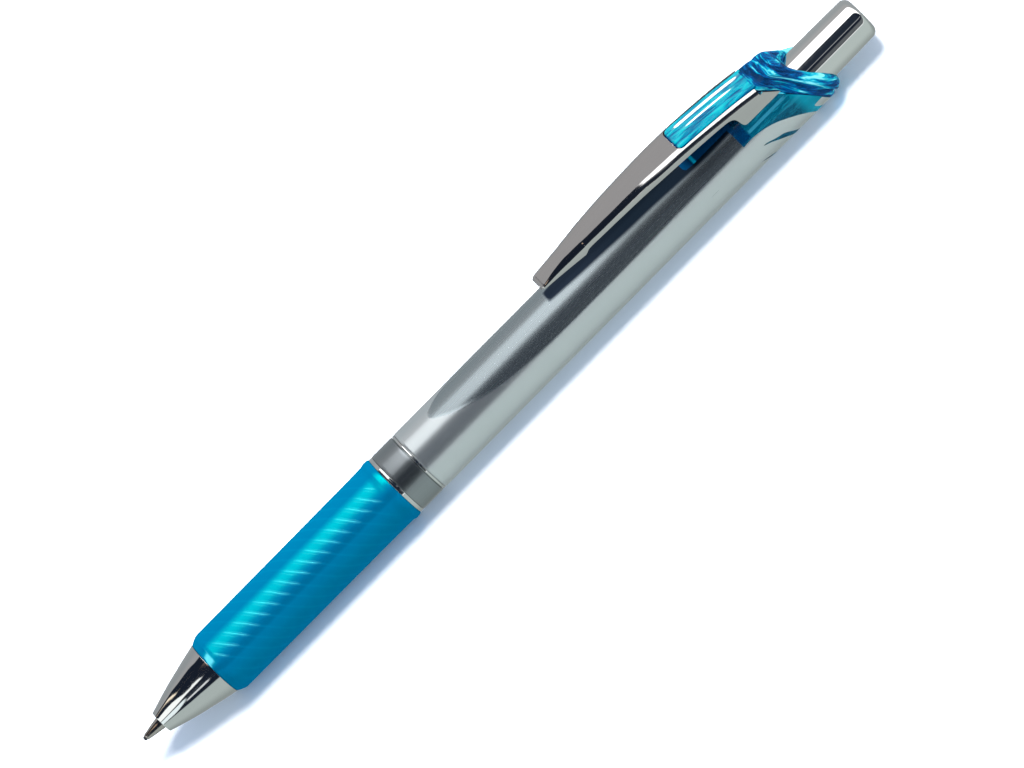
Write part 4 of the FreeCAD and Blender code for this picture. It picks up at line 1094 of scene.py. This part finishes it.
WEB = [(122.4, 5.55), (125.6, 5.55), (125.6, 6.25), (122.4, 6.25)]
TAB = [(125.3, 5.6), (128.9, 5.6), (128.9, 6.2), (125.3, 6.2)]
BEAD = [(92.1, 9.3), (92.3, 7.5), (92.75, 6.85), (93.2, 6.7), (93.65, 6.85), (94.1, 7.5),
        (94.3, 9.4)]
# name, outline, half width, material, bevel width
for name, outline, half, material, width in (("clip_web", WEB, 2.68, "clip", 0.08),
                                             ("clip_tab", TAB, 1.95, "clip_dark", 0.08),
                                             ("clip_bead", BEAD, 0.8, "clip", 0.25)):
    piece = make(name, *plate(outline, -half, half), material, "clip", "clip_chrome")
    add_bevel(piece, "bevel", width, segments=3, angle=30)
    bake(piece, sharp=40)

# ------------------------------------------------------------------ tongue in the clip's window
TONGUE_FRONT, TONGUE_REAR, TONGUE_HALF = 112.9, 126.95, 2.41
TONGUE_THICK, TONGUE_CORNER, TONGUE_EDGE = 1.5, 0.95, 0.42


def tongue_section(x):
    """Points, shine values (a painted highlight along the grooves) and rim values (painted shade
    at the edge) of one section; two shallow grooves run along its top.
    """
    short = max(0.0, TONGUE_FRONT + TONGUE_CORNER - x)
    half = TONGUE_HALF - TONGUE_CORNER + math.sqrt(max(0.0, TONGUE_CORNER ** 2 - short ** 2))
    top = clip_top(min(x, CLIP_REAR)) + 0.05 - 0.10 * max(0.0, x - CLIP_REAR)
    top += 0.10 * max(0.0, x - 125.5)
    ease = 0.35 * (short / TONGUE_CORNER) ** 3
    high, low = top - ease, top - TONGUE_THICK + ease * 0.4
    flat, edge = half - TONGUE_EDGE, TONGUE_EDGE
    # how fully each groove shows at this x: the one at +y, then the one near the middle
    outer = np.interp(x, [TONGUE_FRONT, 114.2, 115.2, 125.2, 126.4, TONGUE_REAR],
                      [0, 0, 1, 1, 0.2, 0])
    middle = np.interp(x, [TONGUE_FRONT, 115.4, 117.0, 123.0, 125.0, TONGUE_REAR],
                       [0, 0, 1, 1, 0, 0])
    wide = 0.5 + 0.5 * outer
    outer_glint = [1.34 - 0.22 * wide, 1.36 - 0.12 * wide, 1.40 + 0.12 * wide,
                   1.42 + 0.20 * wide]
    ring = arc(flat, high - edge, edge, 0, HALF_PI, 7)
    shine = [0.0] * len(ring)
    for y in np.linspace(flat, -flat, 41)[1:-1]:
        lift = 0.05 * (1 - (y / flat) ** 2)
        lift += outer * 0.075 * np.interp(y, [0.30, 1.12, 1.62, 1.93], [0, -1.0, 0.35, 0])
        lift += middle * 0.060 * np.interp(y, [-0.75, -0.02, 0.36, 0.75], [0, -1.0, 0.35, 0])
        ring.append((y, high + lift))
        shine.append(max(outer * np.interp(y, outer_glint, [0, 1, 1, 0]),
                         middle * np.interp(y, [0.02, 0.10, 0.26, 0.34], [0, 1, 1, 0])))
    ring += arc(-flat, high - edge, edge, HALF_PI, math.pi, 7)
    # the underside is a shallow trough between two legs
    leg = half - 0.75
    ring += [(-half, low + 0.08), (-half + 0.08, low), (-leg - 0.05, low)]
    ring += [(y, low + 0.62 - 0.25 * (abs(y) / max(leg, 0.1)) ** 4)
             for y in np.linspace(-leg, leg, 9)]
    ring += [(leg + 0.05, low), (half - 0.08, low), (half, low + 0.08)]
    shine += [0.0] * (len(ring) - len(shine))
    # painted shade: a dark rim, full at the front, weaker at the -y side and faint at the +y side
    front = np.interp(x - TONGUE_FRONT, [0, 0.16, 0.34], [1, 1, 0])
    rim = [max(front, np.interp(half - abs(y), [0, 0.10, 0.26], [1, 1, 0])
               * (0.8 if y < 0 else 0.3)) for y, z in ring]
    return [(x, y, z) for y, z in ring], shine, rim


def tongue():
    turn = np.linspace(0, HALF_PI, 9)
    stations = np.concatenate([
        TONGUE_FRONT + TONGUE_CORNER * (1 - np.cos(turn)),
        np.linspace(TONGUE_FRONT + TONGUE_CORNER, TONGUE_REAR, 46)[1:]])
    rows, shine, rim = zip(*[tongue_section(x) for x in stations])
    faces = tube_faces(len(rows), len(rows[0]))
    faces[-2] = faces[-2][::-1]
    obj = make("crown_tongue", np.array(rows), faces, "tongue", "root", "clear_blue",
               sharp=34, tidy=False)
    work = bmesh.new()
    work.from_mesh(obj.data)
    if work.calc_volume(signed=True) < 0:  # the faces have to point outward
        bmesh.ops.reverse_faces(work, faces=work.faces)
        work.to_mesh(obj.data)
    work.free()
    store(obj, "shine", shine)
    store(obj, "rim", rim)


tongue()

# ------------------------------------------------------------------ button, eraser, holder
cap = [(127.0, 3.0), (127.0, 3.15, 0.04), (131.0, 3.15, 0.05), (131.3, 3.6, 0.1)]
cap += [(x, 3.60 - 0.13 * ((x - 133.0) / 11.0) ** 2) for x in np.linspace(133.0, 142.6, 14)]
cap += [(144.95, 3.46, 1.2), (145.0, 1.2), (145.0, 0.0), (143.8, 0.0), (143.8, 2.8),
        (143.4, 3.0)]
ERASER = [(127.02, 0.0), (127.02, 2.46, 0.1), (141.0, 2.46, 0.45), (141.0, 0.0)]
HOLDER = [(118.0, 1.4), (118.0, 1.95, 0.1), (126.1, 1.95), (126.1, 2.92, 0.12),
          (131.5, 2.92, 0.1), (131.5, 2.5), (127.0, 2.5), (127.0, 0.0), (126.1, 0.0),
          (125.5, 1.4)]
lathe("push_button_cap", cap, "chrome_cap", "cap", "chrome", "push_button", segments=224,
      corner_steps=12)
lathe("eraser_plug", ERASER, "eraser", "eraser", "eraser_white", "eraser", segments=96,
      corner_steps=8)
lathe("eraser_holder_cup", HOLDER, "holder", "eraser", "guide_plastic", "eraser_holder",
      segments=96)

# ------------------------------------------------------------------ chuck spring
SPRING_FRONT, SPRING_LENGTH, PRESS_TRAVEL = 20.45, 11.5, 3.5
COIL_RADIUS, WIRE_RADIUS, COIL_TURNS = 1.58, 0.2, 7.0
STEPS_PER_TURN, WIRE_SIDES = 40, 12


def spring():
    turn = np.linspace(0, COIL_TURNS, int(COIL_TURNS * STEPS_PER_TURN) + 1)[:, None]
    # closed ends: the pitch is small over the first and last turn
    share = np.interp(turn, [0, 1, COIL_TURNS - 1, COIL_TURNS], [0, 0.06, 0.94, 1.0])
    x = SPRING_FRONT + WIRE_RADIUS + (SPRING_LENGTH - 2 * WIRE_RADIUS) * share
    round_wire = np.linspace(0, 2 * math.pi, WIRE_SIDES, endpoint=False)
    grid = around(x + WIRE_RADIUS * np.sin(round_wire),
                  COIL_RADIUS + WIRE_RADIUS * np.cos(round_wire), 2 * math.pi * turn)
    obj = make("chuck_spring_coil", grid, tube_faces(len(grid), WIRE_SIDES), "steel", "root",
               "spring_steel", "chuck_spring", sharp=60)
    tuple(to_row((SPRING_FRONT, 0, 0)))
    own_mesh(obj)


spring()

# ------------------------------------------------------------------ CAD pieces kept as they are
for name, material in (("lead_retainer", "retainer"), ("chuck", "brass"),
                       ("clutch_ring", "brass"), ("guide_sleeve", "guide"),
                       ("tank_connector", "guide"), ("lead_tank", "tank"),
                       ("spare_leads", "graphite")):
    piece = frame["nodes"][name]
    slots = piece.data.materials
    if slots:
        for i in range(len(slots)):
            slots[i] = MAT[material]
    else:
        slots.append(MAT[material])
    if name != "spare_leads":
        add_bevel(piece, "edge", 0.05, segments=2, angle=40)

# The painted shade stands in for the clip's reflection and shadow on the barrel
for obj in bpy.data.objects:
    if obj.name.startswith("clip_"):
        obj.visible_glossy = False
        obj.visible_shadow = False

# ------------------------------------------------------------------ studio seen by mirrors
# Directions are two angles in degrees: rise, up from the viewer's side through the zenith,
# and turn, towards +x. A card is its rise and turn ranges, the softness of each range's two
# ends, and its colour.
OVERHEAD_CARDS = [  # two softboxes, then the strips either side of the dark card
    ((79.0, 125.0), (-3.0, 95.0), (1.5, 1.5), (1.5, 3.0), (2.15, 2.15, 2.13)),
    ((84.0, 122.0), (-66.0, -46.0), (3.0, 3.0), (4.0, 4.0), (1.9, 2.1, 2.1)),
    ((41.6, 44.6), (1.4, 200.0), (0.8, 0.8), (0.4, 2.0), (0.42, 0.43, 0.44)),
    ((9.0, 11.6), (-12.0, 200.0), (0.7, 0.7), (2.0, 2.0), (1.25, 1.25, 1.25)),
]
POINT_CARDS = [  # small cards in front of the point, caught by the cones
    ((28.5, 36.0), (-32.6, -29.0), (1.0, 1.0), (0.6, 0.6), (1.0, 1.02, 1.02)),
    ((72.0, 92.0), (-25.6, -21.6), (3.0, 3.0), (0.7, 0.7), (0.95, 0.70, 0.50)),
    ((103.0, 127.0), (-32.6, -30.6), (3.0, 2.0), (0.9, 0.3), (1.55, 1.32, 1.02)),
]


def studio(net, direction):
    """Colour of the studio seen in a direction: softboxes and dark cards round the table."""
    across, y, z = net.xyz(direction)
    rise = net.rise(y, z)
    turn = net.math("ARCSINE", across) * TO_DEGREES

    def step(value, at, soft):
        return net.smooth(value - at, -soft, soft)

    def band(value, ends, soft):
        return step(value, ends[0], soft[0]) * (1.0 - step(value, ends[1], soft[1]))

    def card(rises, turns, soft_rise, soft_turn=(2.0, 2.0)):
        return band(rise, rises, soft_rise) * band(turn, turns, soft_turn)

    def line(turn_from, rise_from, turn_to, rise_to):
        """The rise of a straight line between two directions, at this turn."""
        slope = (rise_to - rise_from) / (turn_to - turn_from)
        return turn * slope + (rise_from - slope * turn_from)

    def slanted(upper, lower, turn_end):
        """A card between two edges, one or both of them slanted, that ends at turn_end."""
        between = step(upper - rise, 0.0, 2.5) * step(rise - lower, 0.0, 2.0)
        return between * (1.0 - step(turn, turn_end, 0.8)) * step(turn, -50.0, 4.0)

    # dark surroundings
    colour = net.mix(card((12.0, 31.0), (-10.0, 200.0), (1.5, 2.0)),
                     (0.012, 0.018, 0.032), (0.030, 0.036, 0.046))
    colour = net.mix(card((13.5, 30.0), (1.7, 200.0), (1.5, 2.0), (0.3, 4.0)),
                     colour, (0.150, 0.160, 0.170))
    colour = net.mix(card((40.0, 78.0), (-8.0, 30.0), (4.0, 4.0)), colour, (0.020, 0.028, 0.044))
    # far side: warm grey high up, cooler and dimmer towards the horizon
    grey = net.mix(step(rise, 150.0, 14.0), (0.490, 0.485, 0.485), (0.41, 0.435, 0.445))
    edge = 124.0 - (1.0 - step(turn, -24.9, 2.0)) * -14.0
    colour = net.mix(step(rise - edge, 0.0, 2.5), colour, grey)
    # viewer's side and below: the pale table
    fall = net.smooth(rise, -100.0, -32.0, before=0.60, after=1.0)
    table = net.mix(fall, (0.0, 0.0, 0.0), (0.578, 0.648, 0.622))
    colour = net.mix(1.0 - step(rise, 11.0, 2.5), colour, table)
    # spill below the softbox, over the middle of the table
    spill = (net.smooth(rise, 55.0, 90.0) * band(turn, (-4.4, 1.5), (0.5, 0.3))
             * (1.0 - step(rise, 90.0, 2.0)))
    colour = net.mix(spill, colour, (0.60, 0.61, 0.62))
    for *shape, light in OVERHEAD_CARDS:
        colour = net.mix(card(*shape), colour, light)
    wedge = slanted(line(-38.4, 101.0, -29.4, 57.0), line(-41.4, 52.0, -30.4, 59.0), -29.0)
    colour = net.mix(wedge, colour, (1.45, 1.47, 1.42))
    wedge = slanted(47.0, line(-39.4, 13.0, -33.4, 36.0), -33.2)
    colour = net.mix(wedge, colour, (1.20, 1.32, 1.32))
    for *shape, light in POINT_CARDS:
        colour = net.mix(card(*shape), colour, light)
    return colour


# ------------------------------------------------------------------ floor
FLOOR_HALF = 4.0  # metres


def floor_material():
    """White paper to the camera; mirrors see the studio in it, clear plastic a plain light."""
    net = new_net("pale_floor")
    camera_ray, glossy_ray, sharp_ray, through_ray = net.outs("LightPath", {}, (
        "Is Camera Ray", "Is Glossy Ray", "Is Singular Ray", "Is Transmission Ray"))
    soft = net.noise(net.coords((3.0, 3.0, 3.0)))
    paper = net.out("BsdfDiffuse", {
        "Color": net.mix(soft, (0.93, 0.93, 0.93), (0.95, 0.95, 0.95))})
    incoming = net.out("NewGeometry", key="Incoming")
    away = net.out("VectorMath", {0: incoming, 1: (-1.0, -1.0, -1.0)}, operation="MULTIPLY")
    # painted light: a faint blue glow, seen only by the camera, lifts the paper so the shadow
    # stays soft and blue
    lift = net.glow((0.050, 0.078, 0.115), strength=camera_ray)
    paper = net.out("AddShader", {0: paper, 1: lift})
    mirror_ray = net.math("MAXIMUM", glossy_ray, sharp_ray)
    seen = net.blend(mirror_ray, paper, net.glow(studio(net, away), strength=1.0))
    return net.finish(net.blend(through_ray, seen, net.glow((1.0, 1.0, 1.0), strength=1.05)))


floor_mesh = bpy.data.meshes.new("floor")
floor_corners = [(x * FLOOR_HALF, y * FLOOR_HALF, 0.0)
                 for x, y in ((-1, -1), (1, -1), (1, 1), (-1, 1))]
floor_mesh.from_pydata(floor_corners, [], [(0, 1, 2, 3)])
link("floor", floor_mesh)
floor_mesh.materials.append(floor_material())


# ------------------------------------------------------------------ world
def build_world():
    """A different background for each kind of ray."""
    world = bpy.data.worlds.new("studio")
    bpy.context.scene.world = world
    net = Net(world)
    through_ray, diffuse_ray, camera_ray = net.outs("LightPath", {}, (
        "Is Transmission Ray", "Is Diffuse Ray", "Is Camera Ray"))

    def background(colour, strength):
        return net.out("Background", {"Color": colour, "Strength": strength})

    room = background(studio(net, net.out("TexCoord", key="Generated")), strength=1.0)
    clear = background((0.95, 0.98, 1.0), strength=1.1)
    fill = background((0.47, 0.58, 0.76), strength=0.97)
    seen = background((0.96, 0.965, 0.97), strength=1.0)
    shader = net.blend(through_ray, room, clear)
    shader = net.blend(diffuse_ray, shader, fill)
    shader = net.blend(camera_ray, shader, seen)
    net.node("OutputWorld", {"Surface": shader})


build_world()

# ------------------------------------------------------------------ light, in metres and watts
SOFTBOX_SIZE, SOFTBOX_POWER = (0.24, 0.20), 5.2
SOFTBOX_PLACE, SOFTBOX_TARGET = Vector((0.14, 0.045, 0.55)), Vector((0, 0, 0.005))

softbox_light = bpy.data.lights.new("overhead_softbox", "AREA")
softbox_light.shape = "RECTANGLE"
softbox_light.size, softbox_light.size_y = SOFTBOX_SIZE
softbox_light.energy = SOFTBOX_POWER
softbox = link("overhead_softbox", softbox_light)
softbox.location = SOFTBOX_PLACE
# the light shines along its own -z
aim = Vector(softbox.location) - SOFTBOX_TARGET
softbox.rotation_euler = aim.to_track_quat("Z", "Y").to_euler()
softbox.visible_glossy = False
softbox.visible_camera = False
softbox.visible_transmission = False

# ------------------------------------------------------------------ camera
ELEVATION, ROLL, LEAN = math.radians(49.0), math.radians(45.33), math.radians(1.75)
VIEW_WIDTH = 145.408  # mm across the view at the pencil
VIEW_CENTRE_X = 72.5  # the point on the axis the view is placed from
SHIFT_RIGHT, SHIFT_DOWN = 1.3916, 0.9656  # mm from that point to the view's centre
SENSOR, LENS = 36.0, 250.0

level_up = Vector((0, math.sin(ELEVATION), math.cos(ELEVATION)))
level_back = Vector((0, -math.cos(ELEVATION), math.sin(ELEVATION)))
pencil = Vector((1, 0, 0))
back = level_back * math.cos(LEAN) + pencil * math.sin(LEAN)
along = pencil * math.cos(LEAN) - level_back * math.sin(LEAN)
right = along * math.cos(ROLL) - level_up * math.sin(ROLL)
up = along * math.sin(ROLL) + level_up * math.cos(ROLL)

view = bpy.data.cameras.new("view_camera")
view.type = "PERSP"
view.sensor_width, view.lens = SENSOR, LENS
view.clip_start, view.clip_end = 0.01, 20.0
camera = link("view_camera", view)
centre = Vector(tuple(to_row((VIEW_CENTRE_X, 0.0, 0.0))))
centre += right * (SHIFT_RIGHT * MM) - up * (SHIFT_DOWN * MM)
distance = VIEW_WIDTH * MM * view.lens / view.sensor_width
turned = Matrix((right, up, back)).transposed().to_4x4()
camera.matrix_world = Matrix.Translation(centre + back * distance) @ turned

scene = bpy.context.scene
scene.camera = camera
scene.view_settings.view_transform = "Standard"
scene.view_settings.look = "None"
scene.view_settings.exposure = 0.0
scene.view_settings.gamma = 1.0
